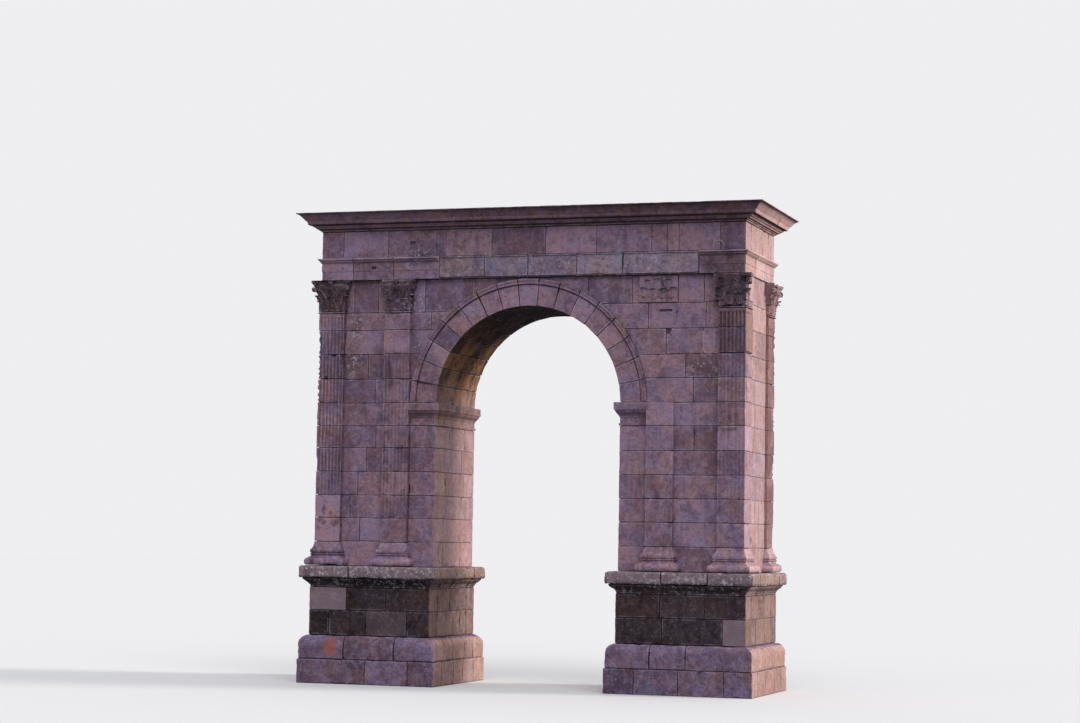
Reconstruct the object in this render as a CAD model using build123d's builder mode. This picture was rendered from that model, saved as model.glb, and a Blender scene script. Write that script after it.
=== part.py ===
from build123d import *
import math
import os

# Triumphal arch of squared stone, in millimetres. X runs along the front, the front faces -Y, Z is up,
# and the origin is on the ground in the middle of the passage.

# Plan, from the middle of the passage outwards
passage_half_width = 2420.0
arch_band_width = 690.0
pilaster_gap = 10.0
pilaster_width = 700.0
bay_width = 1100.0

# Plan, from the middle of the wall to its faces
wall_half_depth = 1417.0

# How far the pilasters and the arch stand out from the wall
pilaster_relief = 164.0
end_pilaster_relief = 75.0
arch_band_relief = 45.0

# How far the entablature lies behind the shaft face, and the dado in front of it
entablature_setback = 34.0
dado_projection = 70.0

# Heights of the courses, from the ground up
lower_socle_height = 620.0
upper_socle_height = 600.0
dado_height = 1200.0
podium_cap_height = 550.0
base_height = 610.0
shaft_height = 5860.0
capital_height = 810.0
architrave_height = 570.0
frieze_height = 680.0
cornice_height = 460.0
impost_height = 580.0
crown_cover = 30.0

# Mouldings of the podium, measured out from the dado face
lower_socle_step = 230.0
upper_socle_step = 215.0
socle_rounding = 190.0
podium_cap_step = 230.0
podium_slab_height = 320.0

# Pilaster bases, measured out from the shaft face
lower_torus_height = 200.0
lower_torus_step = 200.0
upper_torus_height = 140.0
upper_torus_step = 85.0
torus_fillet = 30.0

# Pilaster shafts
flute_count = 7
flute_width = 64.0
flute_depth = 24.0
shaft_foot = 90.0
astragal_height = 45.0
astragal_step = 25.0

# Capitals, measured out from the shaft face
abacus_height = 130.0
abacus_step = 170.0
abacus_side_step = 130.0
bell_foot_step = 20.0
bell_top_step = 110.0
leaf_row_height = 270.0
leaf_width = 150.0
leaf_tip_step = 85.0
leaf_thickness = 60.0
leaves_per_face = 3

# The plain stone that took the worn capital's place, measured out from the wall and past its pilaster
worn_capital_step = 40.0
worn_capital_inward = 260.0
worn_capital_outward = 50.0

# What is left of the broken corner capital on the end face
broken_capital_step = 30.0
broken_capital_corner = 100.0

# Arch ring and impost
voussoir_count = 17
band_moulding_width = 150.0
band_moulding_step = 55.0
impost_step = 130.0
impost_fascia_height = 190.0
impost_necking_height = 70.0
impost_necking_step = 25.0

# Entablature, measured out from its plain face
architrave_left_joint = -2370.0
architrave_right_joint = 4410.0
lower_fascia_height = 230.0
fascia_step = 14.0
architrave_crown_height = 130.0
architrave_crown_step = 95.0
architrave_fillet_height = 40.0
restored_fillet_step = 25.0
cornice_step = 534.0
corona_step = 300.0
bed_moulding_height = 165.0
bed_moulding_step = 200.0
corona_height = 75.0
crown_fillet_height = 25.0

# Sizes worked out from the ones above
arch_outer_radius = passage_half_width + arch_band_width
inner_pilaster_start = arch_outer_radius + pilaster_gap
inner_pilaster_end = inner_pilaster_start + pilaster_width
corner_pilaster_start = inner_pilaster_end + bay_width
shaft_end = corner_pilaster_start + pilaster_width
wall_end = shaft_end - end_pilaster_relief
shaft_half_depth = wall_half_depth + pilaster_relief
band_half_depth = wall_half_depth + arch_band_relief
entablature_half_depth = shaft_half_depth - entablature_setback
entablature_half_length = shaft_end - entablature_setback
dado_half_depth = shaft_half_depth + dado_projection
dado_end = shaft_end + dado_projection
pier_middle = (passage_half_width + dado_end) / 2
dado_half_length = (dado_end - passage_half_width) / 2

lower_socle_top = lower_socle_height
upper_socle_top = lower_socle_top + upper_socle_height
dado_top = upper_socle_top + dado_height
podium_top = dado_top + podium_cap_height
base_top = podium_top + base_height
shaft_top = base_top + shaft_height
architrave_bottom = shaft_top + capital_height
frieze_bottom = architrave_bottom + architrave_height
cornice_bottom = frieze_bottom + frieze_height
springing = architrave_bottom - crown_cover - arch_outer_radius
impost_bottom = springing - impost_height
voussoir_angle = 180.0 / voussoir_count

os.makedirs("parts", exist_ok=True)


def save(piece, node):
    piece.label = node
    export_step(piece, f"parts/{node}.step")


def save_pair(piece, node):
    save(mirror(piece, about=Plane.YZ), f"left_{node}")
    save(piece, f"right_{node}")


def moulded_block(outline, middle_x, half_length, half_depth, bottom):
    """A block with the same moulding on its front, back and both ends, mitred at the corners."""
    reach = 2 * (half_length + half_depth)
    with BuildPart() as block:
        with BuildSketch(Plane((middle_x, 0, bottom), x_dir=(0, 1, 0), z_dir=(1, 0, 0))):
            with BuildLine():
                outline(half_depth)
                mirror(about=Plane.YZ)
            make_face()
        extrude(amount=reach, both=True)
        with BuildSketch(Plane((middle_x, 0, bottom), x_dir=(1, 0, 0), z_dir=(0, -1, 0))):
            with BuildLine():
                outline(half_length)
                mirror(about=Plane.YZ)
            make_face()
        extrude(amount=reach, both=True, mode=Mode.INTERSECT)
    return block


def slab(x_start, x_end, half_depth, bottom, height):
    """A plain block that runs through the whole depth."""
    with BuildPart() as block:
        with BuildSketch(Plane.XY.offset(bottom)):
            with Locations(((x_start + x_end) / 2, 0)):
                Rectangle(x_end - x_start, 2 * half_depth)
        extrude(amount=height)
    return block


# Outlines of the mouldings, each drawn from the middle of the block at its foot
# out to its face and back to the middle at its top.


def upper_socle_outline(face):
    edge = face + upper_socle_step
    shoulder = upper_socle_height - socle_rounding
    foot = Polyline((0, 0), (edge, 0), (edge, shoulder))
    rounding = RadiusArc(foot @ 1, (edge - socle_rounding, upper_socle_height), -socle_rounding)
    Line(rounding @ 1, (0, upper_socle_height))


def podium_cap_outline(face):
    bed_height = podium_cap_height - podium_slab_height
    bed_reach = face + podium_cap_step * 0.65
    edge = face + podium_cap_step
    fillet_height = bed_height * 0.2
    foot = Polyline((0, 0), (face, 0), (face, fillet_height))
    bed = Spline(foot @ 1, (bed_reach, bed_height), tangents=((0, 1), (0, 1)))
    Polyline(bed @ 1, (edge, bed_height), (edge, podium_cap_height), (0, podium_cap_height))


def impost_outline(face):
    """Necking fillet, plain frieze, cyma and fascia."""
    fascia_foot = impost_height - impost_fascia_height
    cyma_foot = fascia_foot - impost_fascia_height
    necking = face + impost_necking_step
    edge = face + impost_step
    foot = Polyline(
        (0, 0),
        (necking, 0),
        (necking, impost_necking_height),
        (face, impost_necking_height),
        (face, cyma_foot),
    )
    cyma = Spline(foot @ 1, (edge - impost_necking_step, fascia_foot), tangents=((0, 1), (0, 1)))
    Polyline(cyma @ 1, (edge, fascia_foot), (edge, impost_height), (0, impost_height))


def base_outline(face):
    """Attic base: torus, scotia, torus and a long curved foot that runs into the shaft."""
    lower_face = face + lower_torus_step - lower_torus_height / 2
    upper_foot = lower_torus_height + torus_fillet + 40
    upper_head = upper_foot + upper_torus_height
    upper_face = face + upper_torus_step - upper_torus_height / 2
    foot = Line((0, 0), (lower_face, 0))
    torus = RadiusArc(foot @ 1, (lower_face, lower_torus_height), -lower_torus_height / 2)
    fillet_end = Line(torus @ 1, (lower_face, lower_torus_height + torus_fillet))
    scotia = Line(fillet_end @ 1, (upper_face, upper_foot))
    ring = RadiusArc(scotia @ 1, (upper_face, upper_head), -upper_torus_height / 2)
    fillet_top = Line(ring @ 1, (upper_face + 15, upper_head + torus_fillet))
    sweep_up = Spline(fillet_top @ 1, (face, base_height), tangents=((-0.6, 1), (0, 1)))
    Line(sweep_up @ 1, (0, base_height))


def carved_architrave_outline(face):
    """Two fasciae under a worn crown of fillets."""
    crown_foot = architrave_height - architrave_crown_height
    crown_edge = face + architrave_crown_step
    fillet_foot = architrave_height - architrave_fillet_height
    second = face + fascia_step
    foot = Polyline(
        (0, 0),
        (face, 0),
        (face, lower_fascia_height),
        (second, lower_fascia_height),
        (second, crown_foot),
        (second + fascia_step, crown_foot),
    )
    crown = Spline(foot @ 1, (crown_edge, fillet_foot), tangents=((1, 1), (0.3, 1)))
    Polyline(crown @ 1, (crown_edge, architrave_height), (0, architrave_height))


def restored_architrave_outline(face):
    """Plain replacement stones with one fillet at the top."""
    edge = face + restored_fillet_step
    fillet_foot = architrave_height - architrave_fillet_height
    Polyline(
        (0, 0),
        (face, 0),
        (face, fillet_foot),
        (edge, fillet_foot),
        (edge, architrave_height),
        (0, architrave_height),
    )


def cornice_outline(face):
    """Bed mouldings, corona and crown moulding."""
    bed_face = face + bed_moulding_step
    corona_face = face + corona_step
    crown_edge = face + cornice_step
    corona_top = bed_moulding_height + corona_height
    fillet_foot = cornice_height - crown_fillet_height
    foot = Polyline((0, 0), (face + fascia_step, 0))
    bed = Spline(foot @ 1, (bed_face, bed_moulding_height), tangents=((0.2, 1), (1, 0.6)))
    corona = Polyline(
        bed @ 1,
        (corona_face, bed_moulding_height),
        (corona_face, corona_top),
        (corona_face + fascia_step, corona_top),
    )
    crown = Spline(corona @ 1, (crown_edge, fillet_foot), tangents=((1, 0.4), (1, 0.4)))
    Polyline(crown @ 1, (crown_edge, cornice_height), (0, cornice_height))


def podium_courses():
    """Two socle courses, the dado and the cap slab of one pier."""
    lower_socle = slab(
        passage_half_width - lower_socle_step,
        dado_end + lower_socle_step,
        dado_half_depth + lower_socle_step,
        0,
        lower_socle_height,
    )
    save_pair(lower_socle.part, "lower_socle")
    upper_socle = moulded_block(
        upper_socle_outline, pier_middle, dado_half_length, dado_half_depth, lower_socle_top
    )
    save_pair(upper_socle.part, "upper_socle")
    dado = slab(passage_half_width, dado_end, dado_half_depth, upper_socle_top, dado_height)
    save_pair(dado.part, "podium_dado")
    cap = moulded_block(podium_cap_outline, pier_middle, dado_half_length, dado_half_depth, dado_top)
    save_pair(cap.part, "podium_cap")


def pier_walls():
    """The wall behind the pilasters and the plain jamb that carries the impost."""
    wall = slab(arch_outer_radius, wall_end, wall_half_depth, podium_top, springing - podium_top)
    save_pair(wall.part, "pier_wall")
    jamb = slab(
        passage_half_width, arch_outer_radius, band_half_depth, podium_top, impost_bottom - podium_top
    )
    save_pair(jamb.part, "jamb")


def impost():
    """The impost returns into the passage and dies against the wall."""
    with BuildPart() as block:
        add(moulded_block(impost_outline, arch_outer_radius, arch_band_width, band_half_depth, impost_bottom))
        split(bisect_by=Plane.YZ.offset(arch_outer_radius), keep=Keep.BOTTOM)
    save_pair(block.part, "impost")


def wall_space(bottom, height):
    """The wall's own space, taken out of what wraps round its corner."""
    return slab(-wall_end, wall_end, wall_half_depth, bottom, height)


def corner_space(bottom, height, inward=0.0):
    """The space over the two corner pilasters, without limit outwards."""
    reach = 2 * shaft_end
    inner_x = corner_pilaster_start - inward
    inner_y = shaft_half_depth - pilaster_width - inward
    with BuildPart() as space:
        with BuildSketch(Plane.XY.offset(bottom)):
            with Locations((inner_x, inner_y), (inner_x, -inner_y - reach)):
                Rectangle(reach, reach, align=(Align.MIN, Align.MIN))
        extrude(amount=height)
    return space


def pilaster_bases():
    """Attic bases: the corner ones turn round the end of the pier."""
    with BuildPart() as corner_bases:
        add(moulded_block(base_outline, 0, shaft_end, shaft_half_depth, podium_top))
        add(corner_space(podium_top, base_height), mode=Mode.INTERSECT)
        add(wall_space(podium_top, base_height), mode=Mode.SUBTRACT)
    save_pair(corner_bases.part, "corner_bases")
    with BuildPart() as inner_bases:
        with BuildSketch(Plane((inner_pilaster_start, 0, podium_top), x_dir=(0, 1, 0), z_dir=(1, 0, 0))):
            with BuildLine():
                base_outline(shaft_half_depth)
                mirror(about=Plane.YZ)
            make_face()
        extrude(amount=pilaster_width)
        add(wall_space(podium_top, base_height), mode=Mode.SUBTRACT)
    save_pair(inner_bases.part, "inner_bases")


def flutes(middle_x, length, bottom):
    """Shallow round channels on the front and back faces, over one pilaster's width."""
    pitch = pilaster_width / flute_count
    radius = (flute_width**2 / 4 + flute_depth**2) / (2 * flute_depth)
    row = shaft_half_depth + radius - flute_depth
    with BuildPart() as channels:
        with BuildSketch(Plane.XY.offset(bottom)):
            with Locations((middle_x, row), (middle_x, -row)):
                with GridLocations(pitch, 0, flute_count, 1):
                    Circle(radius)
        extrude(amount=length)
    return channels


def end_flutes(length, bottom):
    """The same channels on the end face of the two corner pilasters."""
    pitch = pilaster_width / flute_count
    radius = (flute_width**2 / 4 + flute_depth**2) / (2 * flute_depth)
    column = shaft_end + radius - flute_depth
    middle_y = shaft_half_depth - pilaster_width / 2
    with BuildPart() as channels:
        with BuildSketch(Plane.XY.offset(bottom)):
            with Locations((column, middle_y), (column, -middle_y)):
                with GridLocations(0, pitch, 1, flute_count):
                    Circle(radius)
        extrude(amount=length)
    return channels


def pilaster_shafts():
    """Fluted shafts with a plain foot and an astragal; the corner ones have two fluted faces.

    On the front of the right pier the inner shaft ends at the springing: flush stones took its place above.
    """
    fluted_height = shaft_height - 2 * shaft_foot - astragal_height
    flute_bottom = base_top + shaft_foot
    astragal_bottom = shaft_top - astragal_height
    astragal_depth = shaft_half_depth + astragal_step
    corner_middle = corner_pilaster_start + pilaster_width / 2
    inner_middle = inner_pilaster_start + pilaster_width / 2
    with BuildPart() as corner_shafts:
        add(slab(0, shaft_end, shaft_half_depth, base_top, shaft_height))
        add(slab(0, shaft_end + astragal_step, astragal_depth, astragal_bottom, astragal_height))
        add(corner_space(base_top, shaft_height), mode=Mode.INTERSECT)
        add(wall_space(base_top, shaft_height), mode=Mode.SUBTRACT)
        add(flutes(corner_middle, fluted_height, flute_bottom), mode=Mode.SUBTRACT)
        add(end_flutes(fluted_height, flute_bottom), mode=Mode.SUBTRACT)
    save_pair(corner_shafts.part, "corner_shafts")
    with BuildPart() as inner_shafts:
        add(slab(inner_pilaster_start, inner_pilaster_end, shaft_half_depth, base_top, shaft_height))
        add(slab(inner_pilaster_start, inner_pilaster_end, astragal_depth, astragal_bottom, astragal_height))
        add(wall_space(base_top, shaft_height), mode=Mode.SUBTRACT)
        add(flutes(inner_middle, fluted_height, flute_bottom), mode=Mode.SUBTRACT)
    save(mirror(inner_shafts.part, about=Plane.YZ), "left_inner_shafts")
    lost_height = shaft_top - springing
    with BuildPart() as lost_shaft:
        add(slab(inner_pilaster_start, inner_pilaster_end, astragal_depth, springing, lost_height))
        split(bisect_by=Plane.XZ, keep=Keep.TOP)
    with BuildPart() as right_shafts:
        add(inner_shafts.part)
        add(lost_shaft.part, mode=Mode.SUBTRACT)
    save(right_shafts.part, "right_inner_shafts")


def bell(x_start, x_end):
    """The tapered core of a capital, front and back in one block."""
    bell_top = architrave_bottom - abacus_height
    middle_x = (x_start + x_end) / 2
    with BuildPart() as core:
        for level, step in ((shaft_top, bell_foot_step), (bell_top, bell_top_step)):
            with BuildSketch(Plane.XY.offset(level)):
                with Locations((middle_x, 0)):
                    Rectangle(x_end - x_start + 2 * step, 2 * (shaft_half_depth + step))
        loft()
    return core


def leaf(face, row):
    """One plain bent leaf against a face, on the -Y side, in the middle of the part."""
    foot = shaft_top + row * leaf_row_height
    tip = face + leaf_tip_step * (1 + row / 2)
    with BuildPart() as blade:
        with BuildSketch(Plane((0, 0, foot), x_dir=(0, -1, 0), z_dir=(-1, 0, 0))):
            with BuildLine():
                outer = Spline((face, 0), (tip, leaf_row_height * 0.9), tangents=((0.1, 1), (0.6, 0.6)))
                Polyline(
                    outer @ 1,
                    (tip - leaf_thickness / 2, leaf_row_height),
                    (face - leaf_thickness, leaf_row_height),
                    (face - leaf_thickness, 0),
                    outer @ 0,
                )
            make_face()
        extrude(amount=leaf_width / 2, both=True)
    return blade


def front_leaves(middle_x):
    """Two rows of leaves on the front and back of a capital, half a leaf apart."""
    pitch = pilaster_width / leaves_per_face
    with BuildPart() as rows:
        for row in range(2):
            blade = leaf(shaft_half_depth + bell_foot_step, row)
            with Locations((middle_x, 0, 0)):
                with GridLocations(pitch, 0, leaves_per_face - row, 1):
                    add(blade.part)
        mirror(about=Plane.XZ)
    return rows


def end_leaves():
    """The same two rows on the end face of the two corner capitals."""
    pitch = pilaster_width / leaves_per_face
    middle_y = shaft_half_depth - pilaster_width / 2
    with BuildPart() as rows:
        for row in range(2):
            blade = leaf(shaft_end + bell_foot_step, row)
            with Locations((0, -middle_y, 0)):
                with GridLocations(0, pitch, 1, leaves_per_face - row):
                    add(blade.part, rotation=(0, 0, 90))
        mirror(about=Plane.XZ)
    return rows


def capitals():
    """Bell, two rows of leaves and abacus; the corner ones turn round the end of the pier.

    On the front of the right pier the inner capital is worn down to a plain stone, and the corner one
    has lost its ornament on the end face.
    """
    abacus_bottom = architrave_bottom - abacus_height
    abacus_depth = shaft_half_depth + abacus_step
    with BuildPart() as corner_capitals:
        add(bell(corner_pilaster_start, shaft_end))
        add(slab(0, shaft_end + abacus_step, abacus_depth, abacus_bottom, abacus_height))
        add(front_leaves(corner_pilaster_start + pilaster_width / 2))
        add(end_leaves())
        add(corner_space(shaft_top, capital_height, abacus_side_step), mode=Mode.INTERSECT)
        add(wall_space(shaft_top, capital_height), mode=Mode.SUBTRACT)
    save(mirror(corner_capitals.part, about=Plane.YZ), "left_corner_capitals")
    beyond = shaft_end + 2 * abacus_step
    broken_face = shaft_end + broken_capital_step
    broken_depth = shaft_half_depth - broken_capital_corner
    with BuildPart() as broken_off:
        add(slab(broken_face, beyond, broken_depth, shaft_top, capital_height))
        add(slab(wall_end, beyond, shaft_half_depth - pilaster_width, shaft_top, capital_height))
        split(bisect_by=Plane.XZ, keep=Keep.TOP)
    with BuildPart() as right_corner_capitals:
        add(corner_capitals.part)
        add(broken_off.part, mode=Mode.SUBTRACT)
    save(right_corner_capitals.part, "right_corner_capitals")
    inner_start = inner_pilaster_start - abacus_side_step
    inner_end = inner_pilaster_end + abacus_side_step
    with BuildPart() as inner_capitals:
        add(bell(inner_pilaster_start, inner_pilaster_end))
        add(slab(inner_start, inner_end, abacus_depth, abacus_bottom, abacus_height))
        add(front_leaves(inner_pilaster_start + pilaster_width / 2))
        add(wall_space(shaft_top, capital_height), mode=Mode.SUBTRACT)
    save(mirror(inner_capitals.part, about=Plane.YZ), "left_inner_capitals")
    worn_start = inner_pilaster_start - worn_capital_inward
    worn_end = inner_pilaster_end + worn_capital_outward
    worn_depth = wall_half_depth + worn_capital_step
    with BuildPart() as worn_front:
        add(slab(worn_start, worn_end, worn_depth, shaft_top, capital_height))
        add(wall_space(shaft_top, capital_height), mode=Mode.SUBTRACT)
        split(bisect_by=Plane.XZ, keep=Keep.TOP)
    with BuildPart() as right_capitals:
        add(inner_capitals.part)
        split(bisect_by=Plane.XZ, keep=Keep.BOTTOM)
        add(worn_front.part)
    save(right_capitals.part, "right_inner_capitals")


def spandrels():
    """The wall over each half of the arch, up to the architrave."""
    with BuildPart() as spandrel:
        with BuildSketch(Plane.XZ.offset(-wall_half_depth)):
            with Locations((0, springing)):
                Rectangle(wall_end, architrave_bottom - springing, align=(Align.MIN, Align.MIN))
                Circle(arch_outer_radius, mode=Mode.SUBTRACT)
        extrude(amount=2 * wall_half_depth)
    save_pair(spandrel.part, "spandrel")


def band_outline():
    """Half of a voussoir's section: soffit, face, then the moulding along its outer edge."""
    moulding_start = arch_outer_radius - band_moulding_width
    moulding_face = band_half_depth + band_moulding_step
    step = band_half_depth + band_moulding_step * 0.3
    foot = Polyline(
        (passage_half_width, 0),
        (passage_half_width, band_half_depth),
        (moulding_start, band_half_depth),
        (moulding_start, step),
        (moulding_start + band_moulding_width * 0.3, step),
    )
    curve = Spline(
        foot @ 1,
        (arch_outer_radius - band_moulding_width * 0.25, moulding_face),
        tangents=((0.3, 1), (1, 0.3)),
    )
    Polyline(curve @ 1, (arch_outer_radius, moulding_face), (arch_outer_radius, 0))


def arch_ring():
    """Seventeen equal wedge stones, numbered from each springing up to the keystone."""
    turn_axis = Axis((0, 0, springing), (0, -1, 0))
    for place in range(voussoir_count):
        angle = math.radians(place * voussoir_angle)
        radial = (math.cos(angle), 0, math.sin(angle))
        tangent = (-math.sin(angle), 0, math.cos(angle))
        with BuildPart() as voussoir:
            with BuildSketch(Plane((0, 0, springing), x_dir=radial, z_dir=tangent)):
                with BuildLine():
                    band_outline()
                    mirror(about=Plane.XZ)
                make_face()
            revolve(axis=turn_axis, revolution_arc=voussoir_angle)
        from_left = voussoir_count - 1 - place
        if place < from_left:
            node = f"right_voussoir_{place + 1}"
        elif place > from_left:
            node = f"left_voussoir_{from_left + 1}"
        else:
            node = "keystone"
        save(voussoir.part, node)


def architrave():
    """Old moulded stones at both ends, and plain replacement stones between them."""
    joints = (
        ("architrave_left", -2 * entablature_half_length, architrave_left_joint, carved_architrave_outline),
        ("architrave_middle", architrave_left_joint, architrave_right_joint, restored_architrave_outline),
        ("architrave_right", architrave_right_joint, 2 * entablature_half_length, carved_architrave_outline),
    )
    for node, start, end, outline in joints:
        with BuildPart() as stones:
            add(moulded_block(outline, 0, entablature_half_length, entablature_half_depth, architrave_bottom))
            with BuildSketch(Plane.YZ.offset(start)):
                with Locations((0, architrave_bottom)):
                    Rectangle(4 * entablature_half_depth, 4 * architrave_height)
            extrude(amount=end - start, mode=Mode.INTERSECT)
        save(stones.part, node)


def frieze():
    band = slab(
        -entablature_half_length,
        entablature_half_length,
        entablature_half_depth,
        frieze_bottom,
        frieze_height,
    )
    save(band.part, "frieze")


def cornice():
    top = moulded_block(
        cornice_outline, 0, entablature_half_length, entablature_half_depth, cornice_bottom
    )
    save(top.part, "cornice")


podium_courses()
pier_walls()
impost()
pilaster_bases()
pilaster_shafts()
capitals()
spandrels()
arch_ring()
architrave()
frieze()
cornice()
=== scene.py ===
import itertools
import math

import bpy
import numpy as np
from mathutils import Matrix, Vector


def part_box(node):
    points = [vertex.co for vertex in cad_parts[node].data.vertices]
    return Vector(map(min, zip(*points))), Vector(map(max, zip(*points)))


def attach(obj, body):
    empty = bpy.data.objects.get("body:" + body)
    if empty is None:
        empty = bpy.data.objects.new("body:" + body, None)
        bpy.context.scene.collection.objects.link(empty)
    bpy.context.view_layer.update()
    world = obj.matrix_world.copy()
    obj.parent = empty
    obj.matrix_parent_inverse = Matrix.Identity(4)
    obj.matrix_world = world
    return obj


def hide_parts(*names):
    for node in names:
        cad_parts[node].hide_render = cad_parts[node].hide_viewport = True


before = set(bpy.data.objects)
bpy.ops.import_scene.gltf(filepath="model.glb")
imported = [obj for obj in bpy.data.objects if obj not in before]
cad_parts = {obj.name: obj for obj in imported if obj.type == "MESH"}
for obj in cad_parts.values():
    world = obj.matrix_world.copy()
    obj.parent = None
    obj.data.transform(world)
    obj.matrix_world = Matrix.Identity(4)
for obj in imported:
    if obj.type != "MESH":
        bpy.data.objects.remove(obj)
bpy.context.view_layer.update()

# Places taken from the CAD frame, in metres. X runs along the front, the front faces -Y.
WALL_LOW, WALL_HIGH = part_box("right_pier_wall")
JAMB_LOW, JAMB_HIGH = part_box("right_jamb")
INNER_LOW, INNER_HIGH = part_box("right_inner_shafts")
CORNER_LOW, CORNER_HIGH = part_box("right_corner_shafts")
DADO_LOW, DADO_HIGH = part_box("right_podium_dado")
CAP_LOW, CAP_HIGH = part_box("right_podium_cap")
FRIEZE_LOW, FRIEZE_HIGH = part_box("frieze")
CORNICE_LOW, CORNICE_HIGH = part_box("cornice")
ARCHITRAVE_LOW, ARCHITRAVE_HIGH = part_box("architrave_middle")
IMPOST_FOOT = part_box("right_impost")[0].z
PLAIN_CAPITAL_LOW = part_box("right_inner_capitals")[0]

ASTRAGAL_STEP = 0.025
ASTRAGAL_HEIGHT = 0.045
WALL_END, WALL_FACE = WALL_HIGH.x, WALL_HIGH.y
SPRINGING = WALL_HIGH.z
PASSAGE, BAND_FACE = JAMB_LOW.x, JAMB_HIGH.y
RING_OUTER = WALL_LOW.x
SHAFT_FACE = INNER_HIGH.y - ASTRAGAL_STEP
SHAFT_END = CORNER_HIGH.x - ASTRAGAL_STEP
CORNER_START = CORNER_LOW.x
SHAFT_WIDTH = SHAFT_END - CORNER_START
INNER_START, INNER_END = INNER_LOW.x, INNER_LOW.x + SHAFT_WIDTH
CORNER_INNER_Y = SHAFT_FACE - SHAFT_WIDTH
PODIUM_TOP = CAP_HIGH.z
BASE_TOP, SHAFT_TOP = INNER_LOW.z, INNER_HIGH.z
ARCHITRAVE_FOOT = ARCHITRAVE_LOW.z
CAPITAL_HEIGHT = ARCHITRAVE_FOOT - SHAFT_TOP
FRIEZE_FACE, FRIEZE_END = FRIEZE_HIGH.y, FRIEZE_HIGH.x

VOUSSOIRS = 17
STEP = math.pi / VOUSSOIRS
PITCH = 0.085
CORE_INSET = 0.03
SHORTEST_STONE = 0.14
RNG = np.random.default_rng(5)


# Noise


def hashed(ix, iy, iz, seed):
    """A repeatable number from 0 to 1 for each cell of the noise."""
    h = (ix * 73856093) ^ (iy * 19349663) ^ (iz * 83492791) ^ (seed * 26544357)
    h &= 0xFFFFFFFF
    for turn in range(2):
        h = ((h ^ (h >> 16)) * 0x45D9F3B) & 0xFFFFFFFF
    return (h ^ (h >> 16)) / 0xFFFFFFFF


def noise(points, size, seed):
    """Smooth noise from 0 to 1, with cells of the given size in metres."""
    p = points / size
    cell = np.floor(p).astype(np.int64)
    f = p - cell
    f = f * f * (3 - 2 * f)
    total = np.zeros(len(p))
    for corner in itertools.product((0, 1), repeat=3):
        weight = np.prod(np.where(corner, f, 1 - f), axis=1)
        total += weight * hashed(*(cell + corner).T, seed)
    return total


def ramp(value, low, high):
    """Rises smoothly from 0 at low to 1 at high."""
    t = np.clip((value - low) / (high - low), 0, 1)
    return t * t * (3 - 2 * t)


# Mouldings: lists of (height above the level, distance out), from the foot up


class Moulding:
    def __init__(self, steps, level, reach=0.3):
        self.heights = [level + height for height, out in steps]
        self.steps_out = [out for height, out in steps]
        self.reach = reach

    def out(self, z):
        return np.interp(z, self.heights, self.steps_out)


def curve(start, end, kind, count=6):
    """A curved moulding between two points: a cyma, a quick turn outwards or a flare."""
    (h0, o0), (h1, o1) = start, end
    steps = []
    for i in range(count + 1):
        t = rise = i / count
        if kind == "cyma":
            rise = t * t * (3 - 2 * t)
        elif kind == "quick":
            rise = math.sin(t * math.pi / 2)
        elif kind == "flared":
            t = 0.4 * t**0.8 + 0.6 * t**1.6 * (3 - 2 * t**0.8)
        steps.append((h0 + (h1 - h0) * t, o0 + (o1 - o0) * rise))
    return steps


def rounded(bottom, top, rim, middle, count=8):
    """A half-round moulding, or a hollow one where its middle lies behind its rims."""
    steps = []
    for i in range(count + 1):
        angle = math.pi * i / count
        height = (bottom + top) / 2 - (top - bottom) / 2 * math.cos(angle)
        steps.append((height, rim + (middle - rim) * math.sin(angle)))
    return steps


# Blocks. Faces are named L and R for -X and +X, F and B for -Y and +Y, U and T for -Z and +Z.

AXIS_OF = {"L": (0, 0), "R": (0, 1), "F": (1, 0), "B": (1, 1), "U": (2, 0), "T": (2, 1)}
PLAIN = {"rough": 0.010, "chip": 0.028, "edge": 0.0065, "gap": 0.002, "pitch": PITCH, "tone": 0, "warm": 0,
         "crust": 0, "fresh": 0, "lichen": 0, "carved": 0}
CORE_STYLE = {"rough": 0, "chip": 0, "tone": -2, "crust": 0.7}
RIM = (0.35, 1.0)
RIM_BEYOND = (0.03, 0.07)
HOLE_RIM = 0.012
HOLE_REACH = 0.03
SHARP_ANGLE = 36
ARRIS_DIRT = 0.012
CHIP_REACH = 0.03
FULLY_WORN = 0.03
DIRT_AND_SHADE_DARKENS = 1.2
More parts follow.
